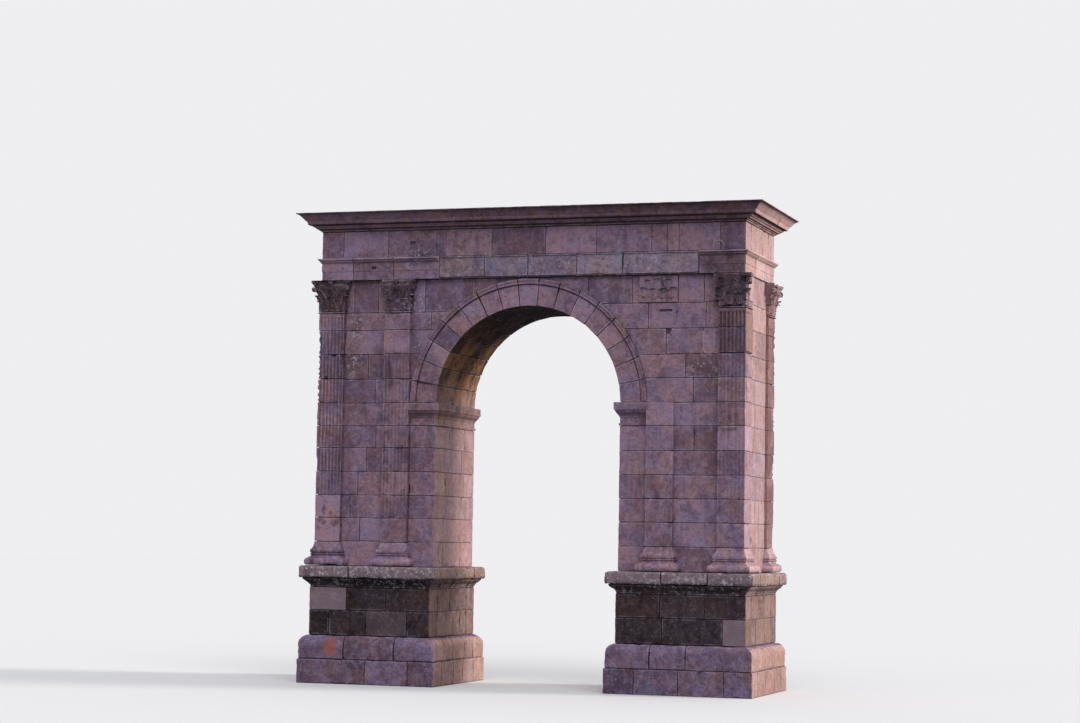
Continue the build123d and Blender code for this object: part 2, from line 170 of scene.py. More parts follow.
# Weathered patches of the front: place along it, height, radius, dark crust, pale lichen
PATCHES_BEFORE = -1.3
FRONT_PATCHES = (
    (-4.60, 9.18, 0.26, 0.55, 0.7),
    (-4.68, 8.72, 0.24, 0.40, 1.0),
    (-4.72, 8.30, 0.20, 0.40, 1.0),
    (-4.76, 7.95, 0.22, 0.35, 0.5),
    (-4.70, 6.95, 0.28, 0.40, 0.3),
    (-4.72, 4.35, 0.30, 0.40, 0.3),
    (4.45, 7.95, 0.32, 0.50, 0.5),
    (4.85, 7.80, 0.26, 0.45, 0.4),
    (4.80, 6.70, 0.30, 0.40, 0.3),
    (5.35, 7.40, 0.30, 0.45, 0.2),
    (-3.00, 9.62, 0.22, -0.05, 1.1),
    (-3.60, 10.80, 0.38, 0.50, 0.3),
    (-2.90, 10.84, 0.30, 0.55, 0.5),
    (-2.60, 10.88, 0.25, 0.45, 0.2),
    (5.00, 10.45, 0.42, 0.45, 0.1),
    (5.25, 10.12, 0.42, 0.55, 0.0),
    (5.15, 10.48, 0.38, 0.75, 0.0),
    (4.75, 10.50, 0.30, 0.50, 0.0),
    (1.88, 9.52, 0.16, 0.50, 0.6),
    (2.20, 9.19, 0.16, 0.55, 0.5),
    (2.46, 8.77, 0.15, 0.45, 0.3),
    (-3.00, 8.58, 0.17, 0.45, 0.5),
    (-2.66, 9.08, 0.17, 0.55, 0.6),
    (-2.34, 9.33, 0.15, 0.50, 0.4),
    (5.52, 9.95, 0.25, 0.50, 0.0),
    (3.35, 9.95, 0.36, 0.30, 0.1),
    (-4.25, 10.83, 0.26, 0.50, 0.1),
    (-5.40, 10.35, 0.30, 0.45, 0.1),
    (-1.55, 9.75, 0.22, 0.55, 0.3),
    (-1.87, 9.38, 0.20, 0.45, 0.3),
    (-1.23, 9.98, 0.18, 0.40, 0.2),
    (1.43, 9.97, 0.24, 0.45, 0.3),
    (2.10, 9.20, 0.20, 0.35, 0.2),
    (-2.90, 7.06, 0.16, 0.60, 0.2),
)


class Stones:
    def __init__(self, **style):
        self.style = {**PLAIN, **style}
        self.points = []
        self.quads = []
        self.polygons = []
        self.facts = []
        self.count = 0

    def add(self, points, quads, polygons, style, distance=1.0, hole=0.0, soot=0):
        """Adds one closed solid, turned so that its faces look outwards. Dirt and painted light and shade
        darken or lighten it point by point, through its tone and crust.
        """
        s = {**self.style, **style}
        a, b, c, d = (points[quads[:, i]] for i in range(4))
        volume = (a * (np.cross(b, c) + np.cross(c, d))).sum()
        for polygon in polygons:
            volume += (points[polygon[0]] * np.cross(points[polygon[1:-1]], points[polygon[2:]])).sum()
        order = slice(None, None, -1) if volume < 0 else slice(None)
        self.quads.append(quads[:, order] + self.count)
        self.polygons += [polygon[order] + self.count for polygon in polygons]
        self.points.append(points)
        facts = {
            "distance": distance,
            "hole": hole,
            "rough": s["rough"] * RNG.uniform(0.6, 1.5),
            "chip": s["chip"] * RNG.uniform(0.5, 1.4),
            "tone": s["tone"] + RNG.normal(0, 0.20) - DIRT_AND_SHADE_DARKENS * soot,
            "warm": s["warm"] + RNG.normal(0, 0.20),
            "crust": s["crust"] + RNG.normal(0, 0.04) + soot,
            "fresh": s["fresh"],
            "lichen": s["lichen"],
            "carved": s["carved"],
        }
        facts = {key: value + np.zeros(len(points)) for key, value in facts.items()}
        facts["shift"] = RNG.uniform(-40, 40, 3) + np.zeros((len(points), 1))
        self.facts.append(facts)
        self.count += len(points)


def ticks(low, high, pitch, edge, extra=()):
    """Grid lines along one side of a stone: close together at the arrises, wider between."""
    rim = [edge * part for part in RIM] + [edge + more for more in RIM_BEYOND]
    rim = [r for r in rim if r < 0.4 * (high - low)]
    last = rim[-1] if rim else 0
    count = max(1, int(math.ceil((high - low - 2 * last) / pitch)))
    lines = [low, high] + [low + r for r in rim] + [high - r for r in rim]
    lines += list(np.linspace(low + last, high - last, count + 1))
    extra = [e for e in extra if low + 1.2 * edge < e < high - 1.2 * edge]
    first, end = low + 1.1 * edge, high - 1.1 * edge
    for e in extra:
        lines = [t for t in lines if abs(t - e) > 0.3 * pitch or not first < t < end]
    return np.unique(np.round(lines + extra, 5))


def lattice(lines, faces):
    """Points on the faces of a box, quads for the shown faces and one polygon for each hidden one."""
    keep = np.zeros([len(t) for t in lines], bool)
    for name in faces:
        axis, end = AXIS_OF[name]
        keep[(slice(None),) * axis + (-end,)] = True
    keep[np.ix_((0, -1), (0, -1), (0, -1))] = True
    ids = np.full(keep.shape, -1)
    ids[keep] = np.arange(keep.sum())
    quads, polygons = [], []
    for name, (axis, end) in AXIS_OF.items():
        sheet = np.take(ids, -end, axis=axis)
        order = slice(None) if (end == 1) != (axis == 1) else slice(None, None, -1)
        if name in faces:
            corners = (sheet[:-1, :-1], sheet[1:, :-1], sheet[1:, 1:], sheet[:-1, 1:])
            quads.append(np.stack(corners, -1).reshape(-1, 4)[:, order])
        else:
            loop = np.concatenate([sheet[:, 0], sheet[-1, 1:], sheet[-2::-1, -1], sheet[0, -2:0:-1]])
            polygons.append(loop[loop >= 0][order])
    places = np.argwhere(keep)
    points = np.stack([lines[axis][places[:, axis]] for axis in range(3)], 1)
    return points, np.concatenate(quads), polygons


def sink_holes(points, holes, face):
    """Pushes the points inside each hole back from the front face, and says which they are."""
    inside = np.zeros(len(points), bool)
    for x, z, width, height, depth in holes:
        here = np.abs(points[:, 0] - x) <= width / 2 + 1e-5
        here &= np.abs(points[:, 2] - z) <= height / 2 + 1e-5
        here &= points[:, 1] < face + HOLE_REACH
        points[here, 1] += depth
        inside |= here
    return inside.astype(float)


def near_face(points, axis, face, reach):
    """1 at a face, falling to 0 at a distance behind it."""
    return np.clip(1 - np.abs(points[:, axis] - face) / reach, 0, 1)


def block(stones, low, high, faces, extra=((), (), ()), lines=None, shape=None, moulding=None, holes=(),
          soot=None, **style):
    """One closed stone with rounded arrises; its shown faces are finely divided."""
    s = {**stones.style, **style}
    low, high = np.array(low, float), np.array(high, float)
    for name in "LRFB":
        axis, end = AXIS_OF[name]
        if name not in faces:
            (low, high)[end][axis] += -s["gap"] if end else s["gap"]
    edge = min(s["edge"] * RNG.uniform(0.6, 2.0), 0.3 * (high - low).min())
    fine = {a for name in faces for a in range(3) if a != AXIS_OF[name][0]}
    extra = [list(e) for e in extra]
    if moulding:
        extra[2] += moulding.heights
    sunk = [h for h in holes if low[0] < h[0] < high[0] and low[2] < h[1] < high[2] and "F" in faces]
    for x, z, width, height, depth in sunk:
        for axis, centre, half in ((0, x, width / 2), (2, z, height / 2)):
            extra[axis] += [centre - half - HOLE_RIM, centre - half, centre + half, centre + half + HOLE_RIM]
    grid = [ticks(low[a], high[a], s["pitch"], edge, extra[a]) if a in fine else np.array([low[a], high[a]])
            for a in range(3)]
    for axis, given in (lines or {}).items():
        grid[axis] = given
    points, quads, polygons = lattice(grid, faces)
    middle, half = (low + high) / 2, (high - low) / 2
    local = points - middle
    distance = np.sort(half - np.abs(local), axis=1)[:, 1]
    inner = np.clip(local, -(half - edge), half - edge)
    out = local - inner
    length = np.linalg.norm(out, axis=1, keepdims=True)
    turned = inner + out / np.maximum(length, 1e-9) * np.minimum(length, edge)
    points = np.where(length > edge, turned, local) + middle
    hole = sink_holes(points, sunk, low[1])
    if moulding:
        moved = points.copy()
        steps_out = moulding.out(points[:, 2])
        for axis, end in (AXIS_OF[name] for name in faces if name in "LRFB"):
            weight = near_face(points, axis, (low, high)[end][axis], moulding.reach)
            moved[:, axis] += (1 if end else -1) * weight * steps_out
        points = moved
    # Dirt and painted light and shade for each point
    dark = soot(points) if soot else 0
    stones.add(shape(points) if shape else points, quads, polygons, style, distance, hole, dark)


def core(stones, low, high, shape=None):
    """The dark mortar behind the stones of a piece."""
    points, quads, polygons = lattice([np.array([a, b], float) for a, b in zip(low, high)], "LRFBUT")
    stones.add(shape(points) if shape else points, quads, polygons, CORE_STYLE)


def vertex_normals(points, quads):
    a, b, c, d = (points[quads[:, i]] for i in range(4))
    n = np.cross(c - a, d - b)
    normals = np.zeros_like(points)
    for i, axis in itertools.product(range(4), range(3)):
        normals[:, axis] += np.bincount(quads[:, i], n[:, axis], len(points))
    return normals / np.maximum(np.linalg.norm(normals, axis=1, keepdims=True), 1e-12)


def weathered(points, normals, facts):
    """Wears the stones inwards: long swells, pits and broken arrises. Also says how worn each point is."""
    shifted = points + facts["shift"]
    swell = 0.55 * noise(shifted, 0.45, 1) + 0.3 * noise(shifted, 0.19, 2) + 0.15 * noise(shifted, 0.09, 3)
    pits = ramp(noise(shifted, 0.13, 4), 0.68, 0.95)
    arris = np.exp(-facts["distance"] / CHIP_REACH)
    broken = ramp(0.6 * noise(shifted, 0.20, 5) + 0.4 * noise(shifted, 0.07, 6), 0.52, 0.85)
    fine = noise(shifted, 0.035, 7) + 0.5 * noise(shifted, 0.016, 8)
    depth = facts["rough"] * (swell + 1.2 * pits + facts["carved"] * fine) + facts["chip"] * arris * broken
    worn = np.clip(depth / FULLY_WORN, 0, 1)
    return points - normals * depth[:, None], np.maximum(worn, facts["hole"])


def make_mesh(name, points, quads, polygons, colours):
    mesh = bpy.data.meshes.new(name)
    loops = np.concatenate([quads.ravel()] + polygons)
    sizes = np.concatenate([np.full(len(quads), 4), [len(p) for p in polygons]]).astype(np.int32)
    starts = np.concatenate([[0], np.cumsum(sizes)[:-1]]).astype(np.int32)
    mesh.vertices.add(len(points))
    mesh.vertices.foreach_set("co", points.astype(np.float32).ravel())
    mesh.loops.add(len(loops))
    mesh.loops.foreach_set("vertex_index", loops.astype(np.int32))
    mesh.polygons.add(len(sizes))
    mesh.polygons.foreach_set("loop_start", starts)
    mesh.polygons.foreach_set("loop_total", sizes)
    mesh.polygons.foreach_set("use_smooth", np.ones(len(sizes), bool))
    for key, values in colours.items():
        attribute = mesh.attributes.new(key, "FLOAT_COLOR", "POINT")
        attribute.data.foreach_set("color", np.stack(values, 1).astype(np.float32).ravel())
    mesh.update(calc_edges=True)
    mesh.validate()
    mesh.set_sharp_from_angle(angle=math.radians(SHARP_ANGLE))
    return mesh


def finish(stones, node, material, suffix="blocks"):
    """Makes the piece that stands for one node of the CAD frame."""
    points, quads = np.concatenate(stones.points), np.concatenate(stones.quads)
    facts = {key: np.concatenate([f[key] for f in stones.facts]) for key in stones.facts[0]}
    points, worn = weathered(points, vertex_normals(points, quads), facts)
    for x, z, radius, crust, lichen in FRONT_PATCHES:
        away = ((points[:, 0] - x) ** 2 + (points[:, 2] - z) ** 2) / radius**2
        here = np.exp(-away) * (points[:, 1] < PATCHES_BEFORE)
        facts["crust"] += crust * here
        facts["lichen"] += lichen * here
    tone, warm = 0.5 + 0.25 * facts["tone"], 0.5 + 0.25 * facts["warm"]
    near_arris = np.exp(-facts["distance"] / ARRIS_DIRT)
    colours = {
        "stone": (tone, warm, facts["crust"], facts["fresh"]),
        "wear": (worn, facts["hole"], facts["lichen"], near_arris),
    }
    name = f"{node}_{suffix}"
    piece = bpy.data.objects.new(name, make_mesh(name, points, quads, stones.polygons, colours))
    bpy.context.scene.collection.objects.link(piece)
    piece.data.materials.append(material)
    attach(piece, "root")
    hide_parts(node)


def runs(cuts):
    """The stretches between a row of cuts."""
    return list(zip(cuts[:-1], cuts[1:]))


def spans(low, high, joints):
    """Splits a run at its joints, dropping those outside it or close to its ends."""
    inside = [joint for joint in joints if low + SHORTEST_STONE < joint < high - SHORTEST_STONE]
    return runs([low, *sorted(inside), high])


def random_joints(low, high, length):
    """Joints about a block's length apart, at uneven places."""
    joints = []
    place = low + length * RNG.uniform(0.45, 1.1)
    while place < high - 0.4 * length:
        joints.append(place)
        place += length * RNG.uniform(0.75, 1.3)
    return joints


def mirrored(side, low_x, high_x):
    return (low_x, high_x) if side > 0 else (-high_x, -low_x)


# Carved forms

UP = np.array([0.0, 0.0, 1.0])


def crosswise(out):
    """A level direction as a vector, and the level direction square to it."""
    return np.array([out[0], out[1], 0.0]), np.array([-out[1], out[0], 0.0])


def sheet(stones, front, thickness, **style):
    """A closed thin solid behind a grid of points."""
    rows, columns, _ = front.shape
    normal = np.cross(np.gradient(front, axis=1), np.gradient(front, axis=0))
    normal /= np.maximum(np.linalg.norm(normal, axis=2, keepdims=True), 1e-9)
    points = np.concatenate([front.reshape(-1, 3), (front - normal * thickness).reshape(-1, 3)])
    ids = np.arange(rows * columns).reshape(rows, columns)
    face = np.stack([ids[:-1, :-1], ids[:-1, 1:], ids[1:, 1:], ids[1:, :-1]], -1).reshape(-1, 4)
    rim = np.concatenate([ids[0, :-1], ids[:-1, -1], ids[-1, :0:-1], ids[:0:-1, 0]])
    after = np.roll(rim, -1)
    behind = rows * columns
    edge = np.stack([after, rim, rim + behind, after + behind], 1)
    stones.add(points, np.concatenate([face, face[:, ::-1] + behind, edge]), [], style)


def ring_solid(stones, rings, **style):
    """A closed solid through a row of rings of points, with a flat cap at each end."""
    ids = np.arange(rings.shape[0] * rings.shape[1]).reshape(rings.shape[:2])
    turned = np.roll(ids, -1, axis=1)
    quads = np.stack([ids[:-1], turned[:-1], turned[1:], ids[1:]], -1).reshape(-1, 4)
    stones.add(rings.reshape(-1, 3), quads, [ids[0, ::-1], ids[-1]], style)


def rod(stones, path, flat, wide, thin, **style):
    """A band swept along a path: wide along the flat direction, thin in the path's own plane."""
    path = np.array(path)
    along = np.gradient(path, axis=0)
    along /= np.linalg.norm(along, axis=1, keepdims=True)
    other = np.cross(along, flat)
    other /= np.linalg.norm(other, axis=1, keepdims=True)
    angles = np.arange(8) * math.pi / 4
    wide, thin = np.broadcast_to(wide, len(path)), np.broadcast_to(thin, len(path))
    rings = path[:, None] + np.cos(angles)[None, :, None] * (wide[:, None] * flat)[:, None]
    ring_solid(stones, rings + np.sin(angles)[None, :, None] * (thin[:, None] * other)[:, None], **style)


def knob(stones, centre, out, radius, depth, petals, **style):
    """A round flower that stands out from its centre."""
    out, side = crosswise(out)
    angles = np.arange(30) / 30 * 2 * math.pi
    rings = []
    for t in np.linspace(0.04, 0.96, 12):
        swell = math.sin(math.pi * t)
        wide = radius * swell * (1 + 0.16 * np.cos(petals * angles) * swell)
        place = np.array(centre) - out * depth * math.cos(math.pi * t)
        rings.append(place + side * (wide * np.cos(angles))[:, None] + UP * (wide * np.sin(angles))[:, None])
    ring_solid(stones, np.array(rings), **style)


LEAF_STEM = 0.72
LEAF_ROWS = 22
LEAF_COLUMNS = 19
LEAF_THICKNESS = 0.022


def leaf(stones, foot, out, height, half_width, lean, curl, whole=1.0, **style):
    """An acanthus leaf: it climbs from its foot, swings out and hangs its tip over."""
    out, side = crosswise(out)
    s = np.linspace(0, whole, LEAF_ROWS)[:, None]
    t = np.linspace(-1, 1, LEAF_COLUMNS)[None, :]
    stem = np.clip(s / LEAF_STEM, 0, 1)
    turn = np.clip((s - LEAF_STEM) / (1 - LEAF_STEM), 0, 1)
    angle = turn * 2.7
    forward = lean * stem**2.2 + curl * (1 - np.cos(angle))
    rise = (height - curl) * stem + curl * np.sin(angle)
    width = half_width * (0.58 + 0.42 * np.sin(math.pi * stem**0.8 * 0.82)) * (1 - 0.62 * turn)
    lobes = np.abs(np.sin(4.5 * math.pi * (s / whole) ** 0.9)) ** 0.6
    teeth = np.abs(np.sin(15 * math.pi * (s / whole)))
    width = width * (1 - np.abs(t) ** 3 * (0.34 * (1 - lobes) + 0.07 * (1 - teeth)))
    ribs = 0.006 * np.cos(9 * (np.abs(t) * 1.6 - 0.9 * stem) * 1.4) * (1 - 0.5 * turn)
    midrib = 0.012 * np.exp(-((t / 0.13) ** 2))
    eyes = -0.016 * np.exp(-(((np.abs(t) - 0.78) / 0.14) ** 2)) * (1 - lobes)
    cup = -0.09 * half_width / 0.15 * (np.abs(t) ** 2.4) * (0.25 + 0.5 * stem * (1 - turn))
    forward = forward + cup + ribs + midrib + eyes
    front = np.array(foot) + side * (t * width)[..., None] + out * forward[..., None]
    sheet(stones, front + UP * (rise + 0 * t)[..., None], LEAF_THICKNESS, **style)


def scroll(stones, start, centre, radius, turns, wide, **style):
    """A stalk that rises from its start and winds up round the centre of a volute."""
    start = np.array(start, float)
    level = np.array(centre, float) - start
    rise = level[2]
    level[2] = 0
    span = np.linalg.norm(level)
    level /= span
    path = []
    for t in np.linspace(0, 1, 9)[:-1]:
        path.append((span * t**1.7 * 0.95, (rise + radius) * math.sin(t * math.pi / 2)))
    steps = int(18 * turns)
    for i in range(steps + 1):
        angle = math.pi / 2 - 2 * math.pi * turns * i / steps
        r = radius * (1 - 0.75 * i / steps)
        path.append((span + r * math.cos(angle), rise + r * math.sin(angle)))
    taper = np.linspace(1, 0.55, len(path))
    path = [start + level * p + UP * h for p, h in path]
    rod(stones, path, np.cross(level, UP), wide * taper, 0.017 * taper + 0.003, **style)


def hoop(stones, middle, width, straight, upright, face, **style):
    """A thin ridge on the front: a half round and two straight arms, open downwards or upwards."""
    radius = width / 2
    turn = np.linspace(0, math.pi, 13)
    across = np.concatenate([[radius], radius * np.cos(turn), [-radius]])
    rise = np.concatenate([[-straight], radius * np.sin(turn), [-straight]]) * upright
    x, z = middle
    path = np.stack([x + across, np.full(len(across), -face), z + rise], 1)
    path[:, 0] += 0.03 * noise(path, 0.09, 21) - 0.015
    rod(stones, path, np.array([0, 1.0, 0]), 0.016, 0.018, **style)


# Pilasters

FLUTES = 7
FLUTE_WIDTH = 0.064
FLUTE_DEPTH = 0.030
FLUTE_FOOT = 0.09
FLUTE_SAMPLES = (-1.0, -0.82, -0.45, 0.0, 0.45, 0.82, 1.0)
FLUTE_GAP = (SHAFT_WIDTH - FLUTES * FLUTE_WIDTH) / (FLUTES + 1)
FLUTE_DIRT_AND_SHADE = 0.28
FACE_REACH = 0.02
INNER_ROOT = 0.1
BASE_STEPS = (
    rounded(0.0, 0.19, 0.14, 0.20)
    + [(0.193, 0.125), (0.215, 0.12)]
    + rounded(0.22, 0.295, 0.10, 0.065, 6)
    + [(0.298, 0.075), (0.312, 0.07)]
    + rounded(0.315, 0.43, 0.055, 0.085)
    + [(0.433, 0.055), (0.455, 0.052)]
    + curve((0.46, 0.042), (0.60, 0.0), "quick")
    + [(0.61, 0.0)]
)
BELL_STEPS = [(0.0, 0.015), (0.15, 0.018), (0.35, 0.03), (0.5, 0.06), (0.62, 0.11), (0.70, 0.13)]
ABACUS_STEPS = [(0.0, -0.03), (0.01, -0.02), (0.045, -0.014), (0.052, 0.0), (0.13, 0.0)]
# How far the abacus stands out beyond the shaft: on its outer faces, beside the wall and at a lost horn
ABACUS_OUT = 0.17
ABACUS_BESIDE = 0.13
ABACUS_BROKEN = 0.03
ABACUS_HEIGHT = 0.13
# Front capitals that have lost the horn on one side
LOST_HORNS = {("left", "inner", False): "L"}
# A stalk from between the leaves to the corner: places along the face, out of it and up
STALK = (
    (0.15, 0.05, 0.28),
    (0.17, 0.075, 0.38),
    (0.215, 0.10, 0.47),
    (0.28, 0.125, 0.54),
    (0.345, 0.15, 0.585),
)
# Remains of leaves on the two broken capitals: place along it, height of the foot, height and half width
PLAIN_REMAINS = (
    (-0.38, 0.24, 0.26, 0.14),
    (-0.14, 0.20, 0.28, 0.16),
    (0.12, 0.22, 0.26, 0.15),
    (0.36, 0.26, 0.24, 0.13),
    (-0.28, 0.43, 0.26, 0.15),
    (-0.02, 0.44, 0.28, 0.16),
    (0.26, 0.42, 0.28, 0.14),
)
CORNER_REMAINS = (
    (-0.28, 0.20, 0.24, 0.12),
    (-0.02, 0.02, 0.30, 0.15),
    (0.24, 0.03, 0.28, 0.12),
    (0.10, 0.28, 0.34, 0.15),
    (-0.22, 0.46, 0.22, 0.13),
)
# Leaves of a capital: height, half width, how far they lean out and how far their tips curl
LOW_LEAF = (0.30, 0.17, 0.045, 0.035)
HIGH_LEAF = (0.43, 0.17, 0.09, 0.04)
HORN_LOW_LEAF = (0.26, 0.13, 0.04, 0.022)
HORN_HIGH_LEAF = (0.35, 0.15, 0.11, 0.045)
# Scrolls: radius, turns and width of the band
VOLUTE = (0.08, 1.5, 0.062)
INNER_SCROLL = (0.05, 1.2, 0.028)
HORN_INSET = 0.03
SIDE_OF = {"L": (-1, 0), "R": (1, 0), "F": (0, -1), "B": (0, 1)}


class Pilaster:
    """Where one pilaster stands, which of its faces are outer ones and which show at all."""

    def __init__(self, side, place, back):
        front = "B" if back else "F"
        self.side, self.back, self.corner = side, back, place == "corner"
        self.key = ("left" if side < 0 else "right", place, back)
        # Plain wall stones took the place of one shaft over the springing
        self.cut_short = self.key == ("right", "inner", False)
        self.broken = self.key == ("right", "corner", False)
        if self.corner:
            self.x = mirrored(side, CORNER_START, SHAFT_END)
            self.outer = self.shown = front + ("R" if side > 0 else "L")
            self.around = "LRFB"
        else:
            self.x = mirrored(side, INNER_START, INNER_END)
            self.outer, self.shown = front, front + "LR"
            self.around = self.shown
        root = CORNER_INNER_Y if self.corner else WALL_FACE - INNER_ROOT
        self.y = (root, SHAFT_FACE) if back else (-SHAFT_FACE, -root)
        self.plan = (self.x, self.y)

    def box(self, low, high):
        """The corners of the shaft's plan at two heights."""
        return (self.x[0], self.y[0], low), (self.x[1], self.y[1], high)

    def flutes(self, points):
        """For each outer face: its axis and end, the points on it and how deep its flutes are there."""
        for axis, end in (AXIS_OF[name] for name in self.outer):
            near = np.abs(points[:, axis] - self.plan[axis][end]) < FACE_REACH
            depth = flute_depth(points[:, 1 - axis] - self.plan[1 - axis][0], points[:, 2])
            yield axis, end, near, depth


def flute_lines(low):
    """Grid lines across a fluted face."""
    lines = [low + d for d in (0.0, 0.004, 0.011)] + [low + SHAFT_WIDTH - d for d in (0.011, 0.004, 0.0)]
    for i in range(FLUTES):
        middle = low + FLUTE_GAP + FLUTE_WIDTH / 2 + i * (FLUTE_WIDTH + FLUTE_GAP)
        lines += [middle + sample * FLUTE_WIDTH / 2 for sample in FLUTE_SAMPLES]
    return np.array(sorted(lines))


def flute_depth(across, z):
    """Depth of the flutes at a distance across the face and a height; their ends are round."""
    pitch = FLUTE_WIDTH + FLUTE_GAP
    place = across - FLUTE_GAP
    index = np.clip(np.floor(place / pitch), 0, FLUTES - 1)
    from_middle = place - index * pitch - FLUTE_WIDTH / 2
    radius = FLUTE_WIDTH / 2
    foot = BASE_TOP + FLUTE_FOOT + radius
    head = SHAFT_TOP - ASTRAGAL_HEIGHT - FLUTE_FOOT - radius
    beyond = np.maximum(np.maximum(foot - z, z - head), 0)
    return FLUTE_DEPTH * np.sqrt(np.clip(1 - (from_middle**2 + beyond**2) / radius**2, 0, 1))


def fluted(pilaster, strength):
    """Cuts flutes into the outer faces, worn away here and there."""
    def carve(points):
        moved = points.copy()
        spread = 0.45 + 0.55 * ramp(noise(points, 0.55, 11), 0.2, 0.6)
        lost = 0.022 * ramp(noise(points, 0.33, 12), 0.60, 0.88)
        for axis, end, near, depth in pilaster.flutes(points):
            cut = np.maximum(depth * spread * strength, lost * strength)
            moved[near, axis] -= (1 if end else -1) * cut[near]
        return moved
    return carve


def bitten(pilaster, carve):
    """Cuts bites into the outer arris of a drum on top of its flutes."""
    corner_x, corner_y = max(pilaster.x, key=abs), max(pilaster.y, key=abs)

    def shape(points):
        away = np.hypot(points[:, 0] - corner_x, points[:, 1] - corner_y)
        wave = 0.5 + 0.5 * np.sin(points[:, 2] * 2 * math.pi / BITE_PITCH + 12 * noise(points, 0.33, 31))
        wave = ramp(wave, 0.3, 0.8) * ramp(noise(points, 0.24, 32), 0.25, 0.7)
        depth = BITE_DEPTH * wave * np.exp(-((away / 0.05) ** 2))
        moved = carve(points)
        moved[:, 0] -= np.sign(corner_x) * depth
        moved[:, 1] -= np.sign(corner_y) * depth
        return moved
    return shape


def flute_dirt_and_shade(pilaster, strength):
    """Dirt and painted shade in the flutes."""
    def soot(points):
        total = np.zeros(len(points))
        for axis, end, near, depth in pilaster.flutes(points):
            total[near] = FLUTE_DIRT_AND_SHADE * depth[near] / FLUTE_DEPTH
        return total * min(strength, 1.0)
    return soot


def shaft(stones, pilaster, **style):
    """The drums of one pilaster, one for each course, and the astragal that ends it."""
    (x0, x1), (y0, y1) = pilaster.plan
    key = pilaster.key
    top = SPRINGING if pilaster.cut_short else SHAFT_TOP - ASTRAGAL_HEIGHT
    levels = [BASE_TOP] + [z for z in COURSES[pilaster.side][2:] if z < top - 0.2] + [top]
    for course, (low, high) in enumerate(runs(levels)):
        strength = FLUTE_STRENGTH.get(key, {}).get(course, 1.0)
        more = {**style, **DRUM_STYLE.get(key, {}).get(course, {})}
        lines = {0: flute_lines(x0), 1: flute_lines(y0)} if pilaster.corner else {0: flute_lines(x0)}
        carve = fluted(pilaster, strength)
        if (key, course) in BITTEN_DRUMS:
            carve = bitten(pilaster, carve)
        low += OPEN_BEDS.get((key, course), 0)
        faces = pilaster.shown + ("T" if pilaster.cut_short and high == top else "")
        for a, b in spans(x0, x1, DRUM_JOINTS.get((key, course), ())):
            block(stones, (a, y0, low), (b, y1, high), faces, extra=((), (), FLUTE_ENDS), holes=HOLES,
                  lines=lines if strength > 0 else None, shape=carve, soot=flute_dirt_and_shade(pilaster, strength),
                  **more)
    inset = FLUTE_DEPTH + 0.025
    core_y = [y0 + inset, y1 - inset]
    if not pilaster.corner:
        core_y[0 if pilaster.back else 1] = pilaster.y[0 if pilaster.back else 1]
    core(stones, (x0 + inset, core_y[0], BASE_TOP - 0.1), (x1 - inset, core_y[1], top - inset))
    if not pilaster.cut_short:
        ring = Moulding(rounded(0.0, ASTRAGAL_HEIGHT, 0.0, ASTRAGAL_STEP, 6), top)
        block(stones, *pilaster.box(top, SHAFT_TOP), pilaster.shown, moulding=ring, edge=0.004, chip=0.02,
              **style)


def base_soot(points):
    """The lowest round of a base is made paler."""
    return -0.12 * ramp(points[:, 2] - PODIUM_TOP, 0.215, 0.19)


def drawn_in(plan, faces, depth):
    """Hollows the sides of an abacus towards the middle of each face."""
    def shape(points):
        moved = points.copy()
        for axis, end in (AXIS_OF[name] for name in faces):
            low, high = plan[1 - axis]
            place = (points[:, 1 - axis] - (low + high) / 2) / ((high - low) / 2)
            weight = near_face(points, axis, plan[axis][end], 0.3)
            moved[:, axis] -= (1 if end else -1) * weight * depth * np.clip(1 - place**2, 0, 1)
        return moved
    return shape


def volute(stones, foot, diagonal, **style):
    """The scroll under one corner of the abacus, wound in the plane of the diagonal."""
    middle = np.array([*(foot + diagonal * 0.165), SHAFT_TOP + 0.575])
    scroll(stones, (*(foot + diagonal * 0.05), SHAFT_TOP + 0.34), middle, *VOLUTE, **style)
    outward, across = crosswise(diagonal)
    thick = (0.035, 0.062, 0.062, 0.035)
    rod(stones, [middle + across * w for w in (-0.05, -0.045, 0.045, 0.05)], outward, thick, thick, **style)


def horn(stones, corner, outwards, **style):
    """Two leaves and the scroll at one corner of a capital."""
    diagonal = np.array(outwards) / math.sqrt(2)
    foot = np.array(corner) - diagonal * HORN_INSET
    leaf(stones, (*foot, SHAFT_TOP + 0.06), diagonal, *HORN_HIGH_LEAF, RNG.choice((1.0, 0.9)), **style)
    volute(stones, foot, diagonal, **style)
    leaf(stones, (*foot, SHAFT_TOP), diagonal, *HORN_LOW_LEAF, RNG.choice((1.0, 0.8)), **style)


def remains(stones, leaves, middle, front, out, **style):
    """Low worn leaves on the front of a block."""
    for along, up, height, wide in leaves:
        foot = (middle + along, front - out, SHAFT_TOP + up)
        leaf(stones, foot, (0, -1), height, wide, 0.014, 0.02, 1.0, **style)


def plain_capital(stones, **style):
    """The plain stone, nearly flush with the wall, that stands for the inner capital of the right front."""
    low_x, high_x = PLAIN_CAPITAL_LOW.x, INNER_END + 0.05
    front = PLAIN_CAPITAL_LOW.y
    block(stones, (low_x, front, COURSES[1][-2]), (high_x, 0.15 - WALL_FACE, ARCHITRAVE_FOOT - 0.01), "FLRU",
          pitch=0.04, carved=0.8, **style)
    worn = {**style, "rough": 0.007, "chip": 0, "carved": 1.0, "tone": 0.6, "crust": -0.45, "lichen": -0.1}
    remains(stones, PLAIN_REMAINS, (low_x + high_x) / 2, front, 0.0, **worn)


def return_painted_light(points):
    """Painted sunlight: the side of the broken capital, away from the front, is made lighter."""
    return -0.7 * (points[:, 0] > SHAFT_END + 0.01)


